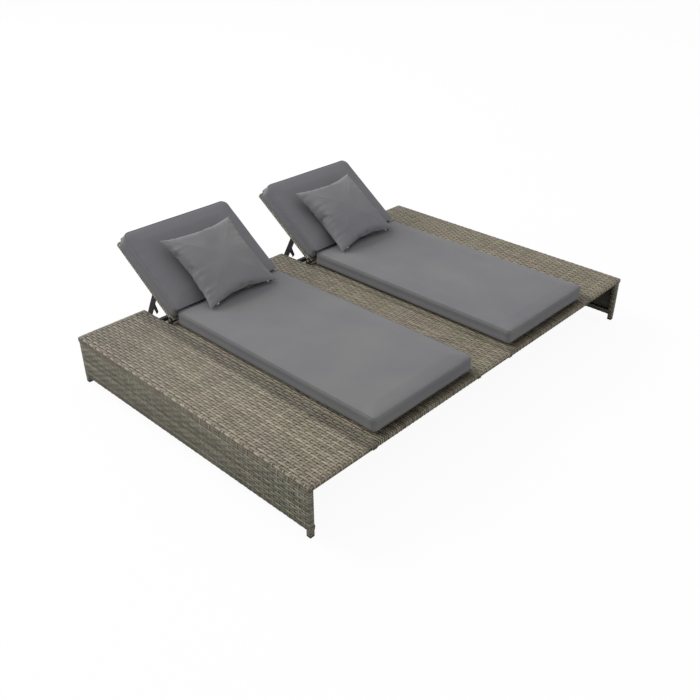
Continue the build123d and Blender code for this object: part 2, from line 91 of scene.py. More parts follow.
class WickerSettings(bpy.types.PropertyGroup):
    """Sizes and colours of the woven strands"""

    strand_pitch: bpy.props.FloatProperty(
        name="Strand pitch", description="From one long strand to the next", default=0.013, unit="LENGTH")
    strand_width: bpy.props.FloatProperty(
        name="Strand width", description="Width of a long strand", default=0.0126, unit="LENGTH")
    cross_pitch: bpy.props.FloatProperty(
        name="Cross pitch", description="From one cross strand to the next", default=0.027, unit="LENGTH")
    cross_width: bpy.props.FloatProperty(
        name="Cross width", description="Width of a cross strand", default=0.0065, unit="LENGTH")
    thickness: bpy.props.FloatProperty(
        name="Thickness", description="Thickness of a strand", default=0.0009, unit="LENGTH")
    wave: bpy.props.FloatProperty(
        name="Wave", description="How far a strand rises and dips where it crosses another", default=0.0011,
        unit="LENGTH")
    crown: bpy.props.FloatProperty(
        name="Crown", description="How far the middle of a strand stands over its edges", default=0.0006,
        unit="LENGTH")
    tube: bpy.props.FloatProperty(
        name="Wrapped tube", description="Width of a tube with its strands", default=0.026, unit="LENGTH")
    skin: bpy.props.FloatProperty(
        name="Weave depth", description="Depth of the weave over its tubes", default=0.003, unit="LENGTH")
    wrap_pitch: bpy.props.FloatProperty(
        name="Wrap pitch", description="From one turn round a tube to the next", default=0.0115,
        unit="LENGTH")
    stripes: bpy.props.FloatProperty(
        name="Stripes", description="How much paler every second strand is", default=0.5)
    color: bpy.props.FloatVectorProperty(
        name="Strand colour", description="Colour of a strand", default=(0.35, 0.308, 0.231), min=0, max=1,
        subtype="COLOR")
    side_color: bpy.props.FloatVectorProperty(
        name="Side colour", description="Colour of the strands down the sides", default=(0.36, 0.34, 0.265),
        min=0, max=1, subtype="COLOR")


class CushionSettings(bpy.types.PropertyGroup):
    """Sizes and colour of the cushions and pillows"""

    seat_corner: bpy.props.FloatProperty(
        name="Seat corner", description="Radius of a seat cushion's upright corners at its foot end",
        default=0.018, unit="LENGTH")
    back_corner: bpy.props.FloatProperty(
        name="Back corner", description="Radius of a back cushion's corners at its upper end",
        default=0.034, unit="LENGTH")
    hinge_corner: bpy.props.FloatProperty(
        name="Hinge corner", description="Radius of a cushion's upright corners at the hinge",
        default=0.016, unit="LENGTH")
    edge: bpy.props.FloatProperty(
        name="Edge", description="Radius of a cushion's long edges", default=0.009, unit="LENGTH")
    seam: bpy.props.FloatProperty(
        name="Seam", description="Radius of the raised seams", default=0.0019, unit="LENGTH")
    flare: bpy.props.FloatProperty(
        name="Flare", description="How far the back cushion's lower edge stands out at its sides",
        default=0.0075, unit="LENGTH")
    overhang: bpy.props.FloatProperty(
        name="Overhang", description="How far that edge hangs over the backrest's tubes", default=0.02,
        unit="LENGTH")
    voxel: bpy.props.FloatProperty(
        name="Mesh size", description="Size of the faces that the fabric is simulated on", default=0.008,
        unit="LENGTH")
    pressure: bpy.props.FloatProperty(
        name="Filling", description="Pressure of the filling on the fabric", default=4.0)
    swell: bpy.props.FloatProperty(
        name="Swell", description="Most that the filling moves the fabric", default=0.008, unit="LENGTH")
    side_share: bpy.props.FloatProperty(
        name="Side swell", description="Share of the swell that the sides keep", default=0.35)
    shift: bpy.props.FloatProperty(
        name="Cushion shift", description="How far the seat cushions lie off the middle of their bays",
        default=0.010, unit="LENGTH")
    back_start: bpy.props.FloatProperty(
        name="Back cushion start", description="Lower end of the back cushion, from the hinge",
        default=-0.008, unit="LENGTH")
    back_end: bpy.props.FloatProperty(
        name="Back cushion end", description="Upper end of the back cushion, from the hinge", default=0.442,
        unit="LENGTH")
    back_under: bpy.props.FloatProperty(
        name="Back cushion underside", description="Its height over the hinge, square to the back",
        default=0.0134, unit="LENGTH")
    thickness: bpy.props.FloatProperty(
        name="Thickness", description="Thickness at the crown", default=0.0826, unit="LENGTH")
    width: bpy.props.FloatProperty(
        name="Width", description="Width of a cushion", default=0.598, unit="LENGTH")
    pillow_cut: bpy.props.FloatProperty(
        name="Pillow cut", description="Side of the flat pillow cover", default=0.43, unit="LENGTH")
    pillow_size: bpy.props.FloatProperty(
        name="Pillow size", description="Side of the filled pillow, over its corners", default=0.398,
        unit="LENGTH")
    pillow_front: bpy.props.FloatProperty(
        name="Pillow front", description="Bulge of the pillow's front", default=0.062, unit="LENGTH")
    pillow_back: bpy.props.FloatProperty(
        name="Pillow back", description="Bulge of the pillow's back", default=0.043, unit="LENGTH")
    pillow_along: bpy.props.FloatProperty(
        name="Pillow place", description="Middle of the pillow, along the back from the hinge",
        default=0.110, unit="LENGTH")
    pillow_above: bpy.props.FloatProperty(
        name="Pillow height", description="Middle of the pillow, square to the back", default=0.1427,
        unit="LENGTH")
    pillow_shifts: bpy.props.FloatVectorProperty(
        name="Pillow shifts", description="Left and right pillow, from the middle of the bay along X",
        default=(0.004, -0.023), size=2, unit="LENGTH")
    pillow_turns: bpy.props.FloatVectorProperty(
        name="Pillow turns", description="How far the left and right pillow are turned on the back",
        default=(math.radians(0.7), math.radians(1.4)), size=2, unit="ROTATION")
    pillow_draw: bpy.props.FloatProperty(
        name="Pillow draw", description="Share that a pillow's sides pull in between its corners",
        default=0.07)
    color: bpy.props.FloatVectorProperty(
        name="Fabric", description="Colour of the cushions' fabric", default=(0.19, 0.19, 0.196),
        min=0, max=1, subtype="COLOR")
    pillow_color: bpy.props.FloatVectorProperty(
        name="Pillow fabric", description="Colour of the pillows' fabric", default=(0.222, 0.22, 0.23),
        min=0, max=1, subtype="COLOR")


class StudioSettings(bpy.types.PropertyGroup):
    """Camera, light and background"""

    camera_place: bpy.props.FloatVectorProperty(
        name="Camera", description="Place of the camera", default=(-2.4773, -2.3205, 2.0193),
        subtype="TRANSLATION")
    camera_heading: bpy.props.FloatProperty(
        name="Heading", description="Turn of the camera from looking along Y", default=math.radians(-46.61),
        subtype="ANGLE")
    camera_tilt: bpy.props.FloatProperty(
        name="Tilt", description="How far the camera looks down", default=math.radians(31.354),
        subtype="ANGLE")
    lens: bpy.props.FloatProperty(
        name="Lens", description="Focal length of the camera", default=41.62)
    sky: bpy.props.FloatProperty(
        name="Sky", description="Strength of the light from all round", default=0.645)
    key: bpy.props.FloatProperty(
        name="Key light", description="Power of the light behind", default=730.0)
    fill: bpy.props.FloatProperty(
        name="Fill light", description="Power of the light in front", default=36.0)
    floor: bpy.props.FloatVectorProperty(
        name="Floor", description="Colour that the floor throws back", default=(0.35, 0.35, 0.35), min=0,
        max=1, subtype="COLOR")


# Places

REST_ANGLE = math.radians(35)


def back_place(side):
    """Matrix from a backrest's own axes, with Y along it from the hinge, to the lounger's"""
    return Matrix.Translation(hinges[f"{side}_recline"]) @ Matrix.Rotation(REST_ANGLE, 4, "X")


def side_sign(side):
    """-1 on the left and 1 on the right"""
    return 1 if side == "right" else -1


def axes(origin, along, across):
    """Matrix whose X runs along, Y across and Z square to both, from an origin"""
    x, y = Vector(along), Vector(across)
    return Matrix.Translation(origin) @ Matrix((x, y, x.cross(y))).transposed().to_4x4()


def span(node, axis):
    """Limits of a CAD node along one axis"""
    low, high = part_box(node)
    return low[axis], high[axis]


# Finishes

def add_node(owner, kind, links=(), **values):
    """Adds a node to a material or a world, sets its values and links its inputs to other nodes' outputs"""
    made = owner.node_tree.nodes.new(kind)
    for key, value in values.items():
        setattr(made, key, value)
    for key, source in links:
        owner.node_tree.links.new(source, made.inputs[key])
    return made


def finish(name, color, roughness):
    """A new material and its main shader"""
    material = bpy.data.materials.new(name)
    material.use_nodes = True
    shader = material.node_tree.nodes["Principled BSDF"]
    shader.inputs["Base Color"].default_value = (*color, 1)
    shader.inputs["Roughness"].default_value = roughness
    return material, shader


def mixed(material, blend, factor, first, second):
    """Output of a colour mix; each side is a colour or an output"""
    made = add_node(material, "ShaderNodeMix", data_type="RGBA", blend_type=blend)
    for socket, value in ((made.inputs[0], factor), (made.inputs[6], first), (made.inputs[7], second)):
        if hasattr(value, "is_linked"):
            material.node_tree.links.new(value, socket)
        else:
            socket.default_value = value
    return made.outputs[2]


def ranged(material, value, low, high, start=0.0, end=1.0):
    """Output of a value that runs from start to end, brought to run from low to high"""
    made = add_node(material, "ShaderNodeMapRange", links=[("Value", value)])
    made.inputs["From Min"].default_value = start
    made.inputs["From Max"].default_value = end
    made.inputs["To Min"].default_value = low
    made.inputs["To Max"].default_value = high
    return made.outputs["Result"]


def noise_output(material, scale, detail=3.0, stretch=(1, 1, 1)):
    """Output of a noise on the object's own coordinates"""
    place = add_node(material, "ShaderNodeTexCoord")
    turned = add_node(material, "ShaderNodeMapping", links=[("Vector", place.outputs["Object"])])
    turned.inputs["Scale"].default_value = stretch
    grain = add_node(material, "ShaderNodeTexNoise", links=[("Vector", turned.outputs["Vector"])])
    grain.inputs["Scale"].default_value = scale
    grain.inputs["Detail"].default_value = detail
    return grain.outputs["Fac"]


def bumped(material, shader, height, strength, distance):
    """Raises the surface by a height output"""
    made = add_node(material, "ShaderNodeBump", links=[("Height", height)])
    made.inputs["Strength"].default_value = strength
    made.inputs["Distance"].default_value = distance
    material.node_tree.links.new(made.outputs["Normal"], shader.inputs["Normal"])


def roughened(material, shader, grain, low, high):
    """Lets the roughness follow a noise output, from low to high"""
    rough = ranged(material, grain, low, high)
    material.node_tree.links.new(rough, shader.inputs["Roughness"])


def strand_finish(name, color):
    """Flat synthetic strands: each a little different in tone, and darkened by painted shade that each point
    carries as its depth, where a strand dips under another and along its edges
    """
    material, shader = finish(name, color, 0.5)
    patch = ranged(material, noise_output(material, 7.0, 2.0), 0.0, 1.0, 0.35, 0.65)
    tint = mixed(material, "MIX", patch, (0.97, 1.0, 0.95, 1), (1.03, 0.995, 1.0, 1))
    shade = add_node(material, "ShaderNodeAttribute", attribute_name="shade").outputs["Fac"]
    depth = add_node(material, "ShaderNodeAttribute", attribute_name="depth").outputs["Fac"]
    base = Vector(color)
    pale = (*(base * 1.2), 1)
    dark = (*(base * Vector((0.76, 0.75, 0.72))), 1)
    tone = mixed(material, "MIX", shade, dark, pale)
    streak = ranged(material, noise_output(material, 55.0, 4.0, (1.0, 0.25, 1.0)), 0.78, 1.2, 0.33, 0.67)
    streaked = mixed(material, "MULTIPLY", 1.0, tone, streak)
    # Painted shade: the depth attribute darkens the strands where they dip, along their edges and in the
    # darker bands of a sheet
    painted_shade = ranged(material, depth, 0.36, 1.0)
    shaded = mixed(material, "MULTIPLY", 1.0, streaked, painted_shade)
    final = mixed(material, "MULTIPLY", 1.0, shaded, tint)
    material.node_tree.links.new(final, shader.inputs["Base Color"])
    roughened(material, shader, noise_output(material, 120.0), 0.42, 0.62)
    bumped(material, shader, noise_output(material, 900.0, 2.0, (1.0, 0.2, 1.0)), 0.25, 0.0004)
    return material


def fabric_finish(name, color):
    """Plain outdoor fabric: a fine weave, a little fading and a soft sheen"""
    material, shader = finish(name, color, 0.92)
    base = Vector(color)
    fading = ranged(material, noise_output(material, 4.5, 2.0), 0.0, 1.0, 0.3, 0.7)
    cool = (*(base * Vector((0.93, 0.93, 0.98))), 1)
    warm = (*(base * Vector((1.05, 1.05, 1.02))), 1)
    patched = mixed(material, "MIX", fading, cool, warm)
    thread = ranged(material, noise_output(material, 700.0, 2.0), 0.9, 1.1)
    final = mixed(material, "MULTIPLY", 1.0, patched, thread)
    material.node_tree.links.new(final, shader.inputs["Base Color"])
    shader.inputs["Sheen Weight"].default_value = 0.12
    shader.inputs["Sheen Roughness"].default_value = 0.5
    shader.inputs["Specular IOR Level"].default_value = 0.2
    bumped(material, shader, noise_output(material, 1300.0, 2.0), 0.35, 0.0004)
    return material


def paint_finish():
    """Black powder coat with a fine grain and worn patches"""
    material, shader = finish("black_powder_coat", (0.012, 0.012, 0.013), 0.42)
    worn = ranged(material, noise_output(material, 9.0), 0.0, 1.0, 0.45, 0.8)
    tone = mixed(material, "MIX", worn, (0.010, 0.010, 0.011, 1), (0.024, 0.023, 0.022, 1))
    material.node_tree.links.new(tone, shader.inputs["Base Color"])
    roughened(material, shader, noise_output(material, 60.0), 0.36, 0.56)
    bumped(material, shader, noise_output(material, 800.0, 2.0), 0.2, 0.0003)
    return material


def plastic_finish():
    """Black moulded plastic of the feet"""
    material, shader = finish("foot_plastic", (0.016, 0.016, 0.016), 0.6)
    roughened(material, shader, noise_output(material, 45.0), 0.5, 0.78)
    bumped(material, shader, noise_output(material, 500.0, 2.0), 0.25, 0.0003)
    return material


def steel_finish():
    """Bare steel of pins, screws and zip sliders"""
    material, shader = finish("bare_steel", (0.56, 0.56, 0.57), 0.35)
    shader.inputs["Metallic"].default_value = 1.0
    brushed = (0.15, 1.0, 1.0)
    roughened(material, shader, noise_output(material, 260.0, 2.0, brushed), 0.25, 0.5)
    bumped(material, shader, noise_output(material, 700.0, 2.0, brushed), 0.12, 0.0002)
    return material


# Making pieces

# Radius at which a weave or a winding bends over an edge
BEND = 0.006


def added(name, data):
    """Puts an object of a mesh, a curve, a light or a camera in the scene"""
    made = bpy.data.objects.new(name, data)
    bpy.context.scene.collection.objects.link(made)
    return made


def piece(name, bm, material):
    """Object of a finished bmesh, at the origin, with its material"""
    mesh = bpy.data.meshes.new(name)
    bm.to_mesh(mesh)
    bm.free()
    made = added(name, mesh)
    mesh.materials.append(material)
    mesh.shade_smooth()
    return made


def corners(box):
    """Lowest and highest corner of a box, as vectors"""
    return Vector(box[0]), Vector(box[1])


def mirrored(made):
    """Turns a piece into its own mirror image along X"""
    made.data.transform(Matrix.Diagonal((-1, 1, 1, 1)))
    made.data.flip_normals()


def woven_mesh():
    """Empty bmesh whose points carry a strand's own tone as shade and its painted shade as depth"""
    bm = bmesh.new()
    bm.verts.layers.float.new("shade")
    bm.verts.layers.float.new("depth")
    return bm


def wicker_piece(name, bm, material, offset):
    """Object of strands, which get their thickness from one modifier"""
    made = piece(name, bm, material)
    solid = made.modifiers.new("Thickness", "SOLIDIFY")
    solid.thickness = bpy.context.scene.wicker.thickness
    solid.offset = offset
    return made


def strand_rows(bm, count, sections, shape, dice, stripes=0.0):
    """Flat strands side by side: shape gives a point's place and depth, its painted shade, from its strand,
    share and edge;
    faces whose points all have a depth below zero are left out"""
    rows = 3 * count - 1
    made = bmesh.ops.create_grid(bm, x_segments=sections, y_segments=rows, size=0.5)["verts"]
    tone = bm.verts.layers.float["shade"]
    # The depth layer holds each point's painted shade
    painted_shade = bm.verts.layers.float["depth"]
    shades = [0.5 + stripes * (strand % 2 - 0.5) + (1 - stripes) * (dice.random() - 0.5)
              for strand in range(count)]
    strand_of = {}
    for vert in made:
        column = round((vert.co.x + 0.5) * sections)
        strand, edge = divmod(round((vert.co.y + 0.5) * rows), 3)
        strand_of[vert] = strand
        vert.co, depth = shape(strand, column / sections, edge - 1)
        vert[tone] = shades[strand]
        vert[painted_shade] = depth
    faces = {face for vert in made for face in vert.link_faces}
    unused = [face for face in faces if len({strand_of[vert] for vert in face.verts}) > 1
              or all(vert[painted_shade] < 0 for vert in face.verts)]
    bmesh.ops.delete(bm, geom=unused, context="FACES")


def wavy(share, count, turn):
    """Height of a strand, from -1 to 1, that crosses a number of others: flat where it's up, short dips"""
    flat_top, short_dip = 0.45, 1.3
    swing = math.sin(math.pi * (share * count + turn))
    return math.copysign(abs(swing) ** (flat_top if swing > 0 else short_dip), swing)


def turned_over(path):
    """Corners of a path's mirror image, in the order that keeps its outward side on its left"""
    return [(-x, y) for x, y in reversed(path)]


def rounded(points, radius=BEND, closed=False):
    """Distance, point and outward direction along a path in a plane, whose outward side is on its left"""
    count, steps = len(points), 4
    spots = []
    for index, corner in enumerate(points):
        here = Vector(corner)
        first, last = index == 0 and not closed, index == count - 1 and not closed
        before = None if first else (here - Vector(points[index - 1])).normalized()
        after = None if last else (Vector(points[(index + 1) % count]) - here).normalized()
        if first or last:
            way = after or before
            spots.append((here, Vector((-way.y, way.x))))
            continue
        start, end = Vector((-before.y, before.x)), Vector((-after.y, after.x))
        bend = -radius if before.cross(after) > 0 else radius
        centre = here - before * radius - start * bend
        for step in range(steps + 1):
            way = (start * (steps - step) + end * step).normalized()
            spots.append((centre + way * bend, way))
    if closed:
        spots.append(spots[0])
    path, distance = [], 0.0
    for index, (spot, way) in enumerate(spots):
        distance += (spot - spots[index - 1][0]).length if index else 0.0
        path.append((distance, spot, way))
    return path


def at(path, distance):
    """Point and outward direction at a distance along a path"""
    for (start, spot, way), (end, after, turned) in zip(path, path[1:]):
        if distance <= end:
            share = (distance - start) / (end - start) if end > start else 0.0
            return spot.lerp(after, share), way.lerp(turned, share).normalized()
    return path[-1][1], path[-1][2]


def on_surface(place, along, across, rise):
    """Point over a surface whose X follows one path and whose Y another, lower where it bends"""
    spot, way = along
    side, turned = across
    out = Vector((way.x, turned.x, way.y * turned.y)).normalized()
    kept = max(0.5, 2 * max(abs(share) for share in out) ** 2 - 1)
    return place @ (Vector((spot.x, side.x, min(spot.y, side.y))) + out * rise * kept)


def past_bend(spot):
    """Whether a place on a path lies past the bend at its edge"""
    return spot[0].y < -BEND / 2


def twice_bent(along, across):
    """Whether a point of a sheet lies past the bends of both its paths, where the sheet would be double"""
    return past_bend(along) and past_bend(across)


def banded(bands, across):
    """Share of its tone that a strand keeps in the darker bands of a sheet"""
    share = 1.0
    for start, end, factor in bands:
        if start <= abs(across[0].x) < end:
            share *= factor
    return share


def end_shade_share(painted_end_shade, along):
    """Share of its tone that a strand keeps under painted shade that grows from one place to another"""
    if not painted_end_shade:
        return 1.0
    start, end, tone = painted_end_shade
    return 1 - (1 - tone) * max(0.0, min(1.0, (along[0].x - start) / (end - start)))


def woven_sheet(bm, along, across, place, seed, steps=4, bands=(), grooves=(), painted_bend_shade=1.0, painted_end_shade=None):
    """Plain weave over a surface: long strands follow its first path and cross strands its second.
    The given bands, painted shade towards one end and past the bends darken it; a strand has painted shade
    where it dips and along its edges, and in a groove the strands lie apart and lower, with painted shade"""
    # The rim tone is painted shade along each long strand's edges, and the groove tone painted shade on the
    # cross strands in a groove
    long_sway, cross_sway, groove_half, painted_groove_shade, painted_rim_shade = 0.0009, 0.002, 0.3, 0.6, 0.3
    wicker = bpy.context.scene.wicker
    dice = random.Random(seed)
    length, width = along[-1][0], across[-1][0]
    longs = max(2, round(width / wicker.strand_pitch))
    crosses = max(2, round(length / wicker.cross_pitch))
    long_half = wicker.strand_width / wicker.strand_pitch * width / longs / 2
    cross_half = wicker.cross_width / 2
    lines = [(at(across, line / longs * width)[0], line) for line in range(1, longs)]
    grooved = [min((abs(abs(spot.x) - groove) - spot.y, line) for spot, line in lines)[1]
               for groove in grooves]

    def painted_shade_at(spot, side, depth):
        if twice_bent(spot, side):
            return -1.0
        return depth * banded(bands, side) * end_shade_share(painted_end_shade, spot) * (painted_bend_shade if past_bend(spot) else 1.0)

    def broken(share, line):
        return 0.75 + 0.5 * noise.noise(Vector((share * length * 14, line * 3.1, seed)))

    def long_strand(strand, share, edge):
        height = wavy(share, crosses, strand)
        sway = noise.noise(Vector((share * length * 9, strand * 1.7, seed))) * long_sway
        middle = (strand + 0.5) / longs * width + sway
        rise = wicker.wave * height + wicker.crown * (1 - edge * edge)
        side = at(across, min(max(middle + edge * long_half, 0.0), width))
        # Painted shade: a long strand is darker where it dips and along its edges
        depth = (0.8 + 0.2 * height) * (1.0 if edge == 0 else painted_rim_shade)
        # In a groove a strand's edge lies lower and takes painted shade
        if edge and strand + max(edge, 0) in grooved:
            open_share = broken(share, strand + max(edge, 0))
            rise -= wicker.wave * open_share
            depth *= 1 - open_share
        spot = at(along, share * length)
        return on_surface(place, spot, side, rise), painted_shade_at(spot, side, max(depth, 0.0))

    def cross_strand(strand, share, edge):
        height = wavy(share, longs, strand + 1)
        sway = noise.noise(Vector((share * width * 11, strand * 2.3, seed + 5))) * cross_sway
        middle = (strand + 0.5) / crosses * length + sway
        rise = wicker.wave * height + wicker.crown * 0.5 * (1 - edge * edge)
        spot = at(along, min(max(middle + edge * cross_half, 0.0), length))
        side = at(across, share * width)
        # Painted shade: a cross strand is darker where it dips, and darker still in a groove
        depth = 0.5 + 0.5 * height
        if any(abs(share * longs - line) < groove_half for line in grooved):
            depth *= painted_groove_shade
        return on_surface(place, spot, side, rise), painted_shade_at(spot, side, depth)

    strand_rows(bm, longs, crosses * steps, long_strand, dice, wicker.stripes)
    strand_rows(bm, crosses, longs * steps, cross_strand, dice)
    painted_shade_sheet(bm, along, across, place)


def painted_shade_sheet(bm, along, across, place):
    """Dark closed sheet under a weave's strands, painted shade that fills the gaps between them: its points
    keep shade and depth at zero, the darkest tone
    """
    rise = -1.2 * bpy.context.scene.wicker.wave
    columns, rows = len(along) - 1, len(across) - 1
    made = bmesh.ops.create_grid(bm, x_segments=columns, y_segments=rows, size=0.5)["verts"]
    double = set()
    for vert in made:
        spot = along[round((vert.co.x + 0.5) * columns)][1:]
        side = across[round((vert.co.y + 0.5) * rows)][1:]
        vert.co = on_surface(place, spot, side, rise)
        if twice_bent(spot, side):
            double.add(vert)
    unused = {face for vert in double for face in vert.link_faces if double.issuperset(face.verts)}
    bmesh.ops.delete(bm, geom=list(unused), context="FACES")


def wound(bm, path, start, end, pitch, place, seed, uneven=0.0, fill=0.96, painted_edge_shade=0.5, painted_top_shade=1.0):
    """Strands wound side by side along a path in local X and Y, from start to end along local Z, with
    painted shade along their edges and where the path faces along its local Y
    """
    slant, sink, middle_tone = 0.04, 0.0008, 0.96
    crown = bpy.context.scene.wicker.crown * 1.3
    dice = random.Random(seed)
    sections = len(path) - 1
    turns = max(1, round((end - start) / pitch))
    width = (end - start) / turns * fill
    slants = [dice.uniform(-slant, slant) for _ in range(turns)]

    def shape(turn, share, edge):
        spot, way = path[round(share * sections)][1:]
        lift = uneven * (turn % 2) - sink
        spot = spot + way * (lift + crown * (1 - edge * edge))
        middle = start + (end - start) * (turn + 0.5) / turns
        along = middle - edge * width / 2 * (1 + slants[turn] * edge)
        # Painted shade: darker where the path faces along its local Y, which is the beam's top
        tone = 1 - (1 - painted_top_shade) * max(0.0, way.y)
        return place @ Vector((spot.x, spot.y, along)), (middle_tone if edge == 0 else painted_edge_shade) * tone

    strand_rows(bm, turns, sections, shape, dice)
    bmesh.ops.remove_doubles(bm, verts=bm.verts[:], dist=0.00001)


def square_path(low, high, radius=0.005):
    """Closed rounded path round a square section between two limits on each axis"""
    return rounded([low, (low[0], high[1]), high, (high[0], low[1])], radius, True)


# Darker bands of a side panel, rows of darker strands with painted shade that deepens towards the bottom:
# start and width, in eighths of its height, and tone
SIDE_BANDS = ((0, 1.1, 0.35), (1.6, 1.4, 0.42), (3.9, 1.5, 0.6), (5.4, 0.8, 0.48), (7.2, 0.8, 0.85))
# Axes of windings along X, Y and Z
ALONG_X = axes((0, 0, 0), (0, 1, 0), (0, 0, 1))
ALONG_Y = axes((0, 0, 0), (0, 0, 1), (1, 0, 0))
ALONG_Z = Matrix.Identity(4)


# Soft pieces

# How far a cushion's upper seam lies under its crown
SEAM_DROP = 0.004


def final_mesh(made):
    """Mesh of an object with its modifiers, or of a curve with its thickness"""
    graph = bpy.context.evaluated_depsgraph_get()
    return bpy.data.meshes.new_from_object(made.evaluated_get(graph))


def settle(made):
    """Makes a piece's modifiers part of its mesh"""
    mesh = final_mesh(made)
    made.modifiers.clear()
    made.data = mesh


def fill_cover(made, pressure, frames, stiffness, limit=None, side_share=1.0):
    """Simulates the fabric cover round its filling, and caps how far a point may move"""
    before = [vert.co.copy() for vert in made.data.vertices]
    cloth = made.modifiers.new("Filling", "CLOTH")
    cloth.settings.quality = 5
    cloth.settings.mass = 0.3
    cloth.settings.tension_stiffness = stiffness
    cloth.settings.compression_stiffness = stiffness
    cloth.settings.shear_stiffness = stiffness / 3
    cloth.settings.bending_stiffness = 0.3
    cloth.settings.use_pressure = True
    cloth.settings.uniform_pressure_force = pressure
    cloth.settings.effector_weights.gravity = 0
    for number in range(1, frames + 1):
        bpy.context.scene.frame_set(number)
    settle(made)
    bpy.context.scene.frame_set(1)
    if limit:
        for vert, old in zip(made.data.vertices, before):
            move = (vert.co - old) * Vector((side_share, side_share, 1))
            most = limit(old)
            if move.length > most:
                vert.co = old + move * (most / move.length)


def fit_box(made, low, high):
    """Brings a piece's mesh to exactly fill a box"""
    points = [vert.co for vert in made.data.vertices]
    least = Vector([min(point[axis] for point in points) for axis in range(3)])
    most = Vector([max(point[axis] for point in points) for axis in range(3)])
    for vert in made.data.vertices:
        shares = [(vert.co[axis] - least[axis]) / (most[axis] - least[axis]) for axis in range(3)]
        vert.co = Vector([low[axis] + shares[axis] * (high[axis] - low[axis]) for axis in range(3)])


def boxed_cover(name, size, corner, material):
    """Even mesh of a boxed cushion cover with rounded corners and edges, centred on the origin"""
    cushion = bpy.context.scene.cushion
    bm = bmesh.new()
    bmesh.ops.create_cube(bm, size=1.0, matrix=Matrix.Diagonal((*size, 1.0)))
    for end, radius in ((size[1] / 2, corner), (-size[1] / 2, cushion.hinge_corner)):
        uprights = [edge for edge in bm.edges if all(abs(vert.co.y - end) < 0.0001 for vert in edge.verts)
                    and abs(edge.verts[0].co.z - edge.verts[1].co.z) > size[2] / 2]
        bmesh.ops.bevel(
            bm, geom=uprights, offset=radius, affect="EDGES", segments=6, profile=0.5, material=-1)
    rims = [edge for edge in bm.edges if edge.calc_face_angle(0) > math.radians(60)]
    bmesh.ops.bevel(
        bm, geom=rims, offset=cushion.edge, affect="EDGES", segments=4, profile=0.5, material=-1)
    made = piece(name, bm, material)
    remesh = made.modifiers.new("Even mesh", "REMESH")
    remesh.mode = "VOXEL"
    remesh.voxel_size = cushion.voxel
    settle(made)
    return made


def cushion_piece(name, size, corner, material):
    """Boxed cushion, filled, centred on the origin, with the end away from the hinge at its highest Y"""
    cushion = bpy.context.scene.cushion
    growth = Vector((0.008, 0.008, 0.016))
    seam_give, seam_reach = 0.002, 0.07
    cut = Vector(size) - growth
    made = boxed_cover(name, cut, corner, material)

    def limit(spot):
        side = min(cut.x / 2 - abs(spot.x), cut.y / 2 - abs(spot.y))
        rim = math.hypot(max(side, 0), cut.z / 2 - abs(spot.z))
        return seam_give + cushion.swell * min(1.0, rim / seam_reach)

    fill_cover(made, cushion.pressure, frames=20, stiffness=15.0, limit=limit,
               side_share=cushion.side_share)
    fit_box(made, Vector(size) * -0.5, Vector(size) * 0.5)
    return made


def cord(name, points, radius, closed, material):
    """Thin round cord through a list of points, as a mesh"""
    curve = bpy.data.curves.new(name, "CURVE")
    curve.dimensions = "3D"
    curve.bevel_depth = radius
    curve.bevel_resolution = 1
    curve.use_fill_caps = True
    line = curve.splines.new("POLY")
    line.points.add(len(points) - 1)
    for spot, point in zip(line.points, points):
        spot.co = (*point, 1)
    line.use_cyclic_u = closed
    drawn = added(name, curve)
    mesh = final_mesh(drawn)
    bpy.data.objects.remove(drawn)
    mesh.name = name
    made = added(name, mesh)
    mesh.materials.clear()
    mesh.materials.append(material)
    mesh.shade_smooth()
    return made


def seam_points(made, place, half, height, radii):
    """Points on a cushion's surface, along the rim at a height of its own axes"""
    far, near = radii
    spacing, corner_steps = 0.012, 6
    path = []
    for x, y, radius in (
        (half.x, half.y, far), (-half.x, half.y, far), (-half.x, -half.y, near), (half.x, -half.y, near),
    ):
        middle = Vector((x, y)) - Vector((math.copysign(radius, x), math.copysign(radius, y)))
        quarter = round((math.atan2(y, x) - math.pi / 4) / (math.pi / 2)) * math.pi / 2
        for step in range(corner_steps + 1):
            angle = quarter + step / corner_steps * math.pi / 2
            path.append(middle + radius * Vector((math.cos(angle), math.sin(angle))))
    surface = BVHTree.FromPolygons(
        [vert.co for vert in made.data.vertices], [face.vertices for face in made.data.polygons])
    points = []
    for start, end in zip(path, path[1:] + path[:1]):
        steps = max(1, round((end - start).length / spacing))
        for step in range(steps):
            spot = start.lerp(end, step / steps)
            points.append(surface.find_nearest(place @ Vector((spot.x, spot.y, height)))[0])
    return points


def soften(made):
    """One subdivision and smooth shading, as part of the mesh"""
    smooth = made.modifiers.new("Smooth", "SUBSURF")
    smooth.levels = 1
    smooth.render_levels = 1
    settle(made)
    made.data.shade_smooth()


def copied(made, name):
    """A copy of a piece with its own mesh"""
    other = made.copy()
    other.data = made.data.copy()
    other.name = name
    bpy.context.scene.collection.objects.link(other)
    return other


def ripple(made, depth, scale, seed):
    """Slight unevenness of a filled cover"""
    offset = Vector((seed * 7.3, seed * 3.1, seed * 5.7))
    outward = [vert.normal.copy() for vert in made.data.vertices]
    for vert, way in zip(made.data.vertices, outward):
        vert.co += way * depth * noise.noise(vert.co * scale + offset)


# Pieces of the lounger

class LOUNGER_OT_steel(bpy.types.Operator):
    """Paints the tubes, plates and pins of the frame, and the feet"""

    bl_idname = "lounger.steel"
    bl_label = "Steel frame and feet"

    def execute(self, context):
        paint = paint_finish()
        steel = steel_finish()
        plastic = plastic_finish()
        finishes = {name: paint for name in STEEL_NODES}
        finishes.update({f"{side}_{name}": paint for side in SIDES for name in SIDE_STEEL_NODES})
        finishes.update({"hinge_pins": steel, "rack_screws": steel, "foot_caps": plastic})
        for name, material in finishes.items():
            for place in frame["nodes"][name].material_slots:
                place.material = material
        return {"FINISHED"}


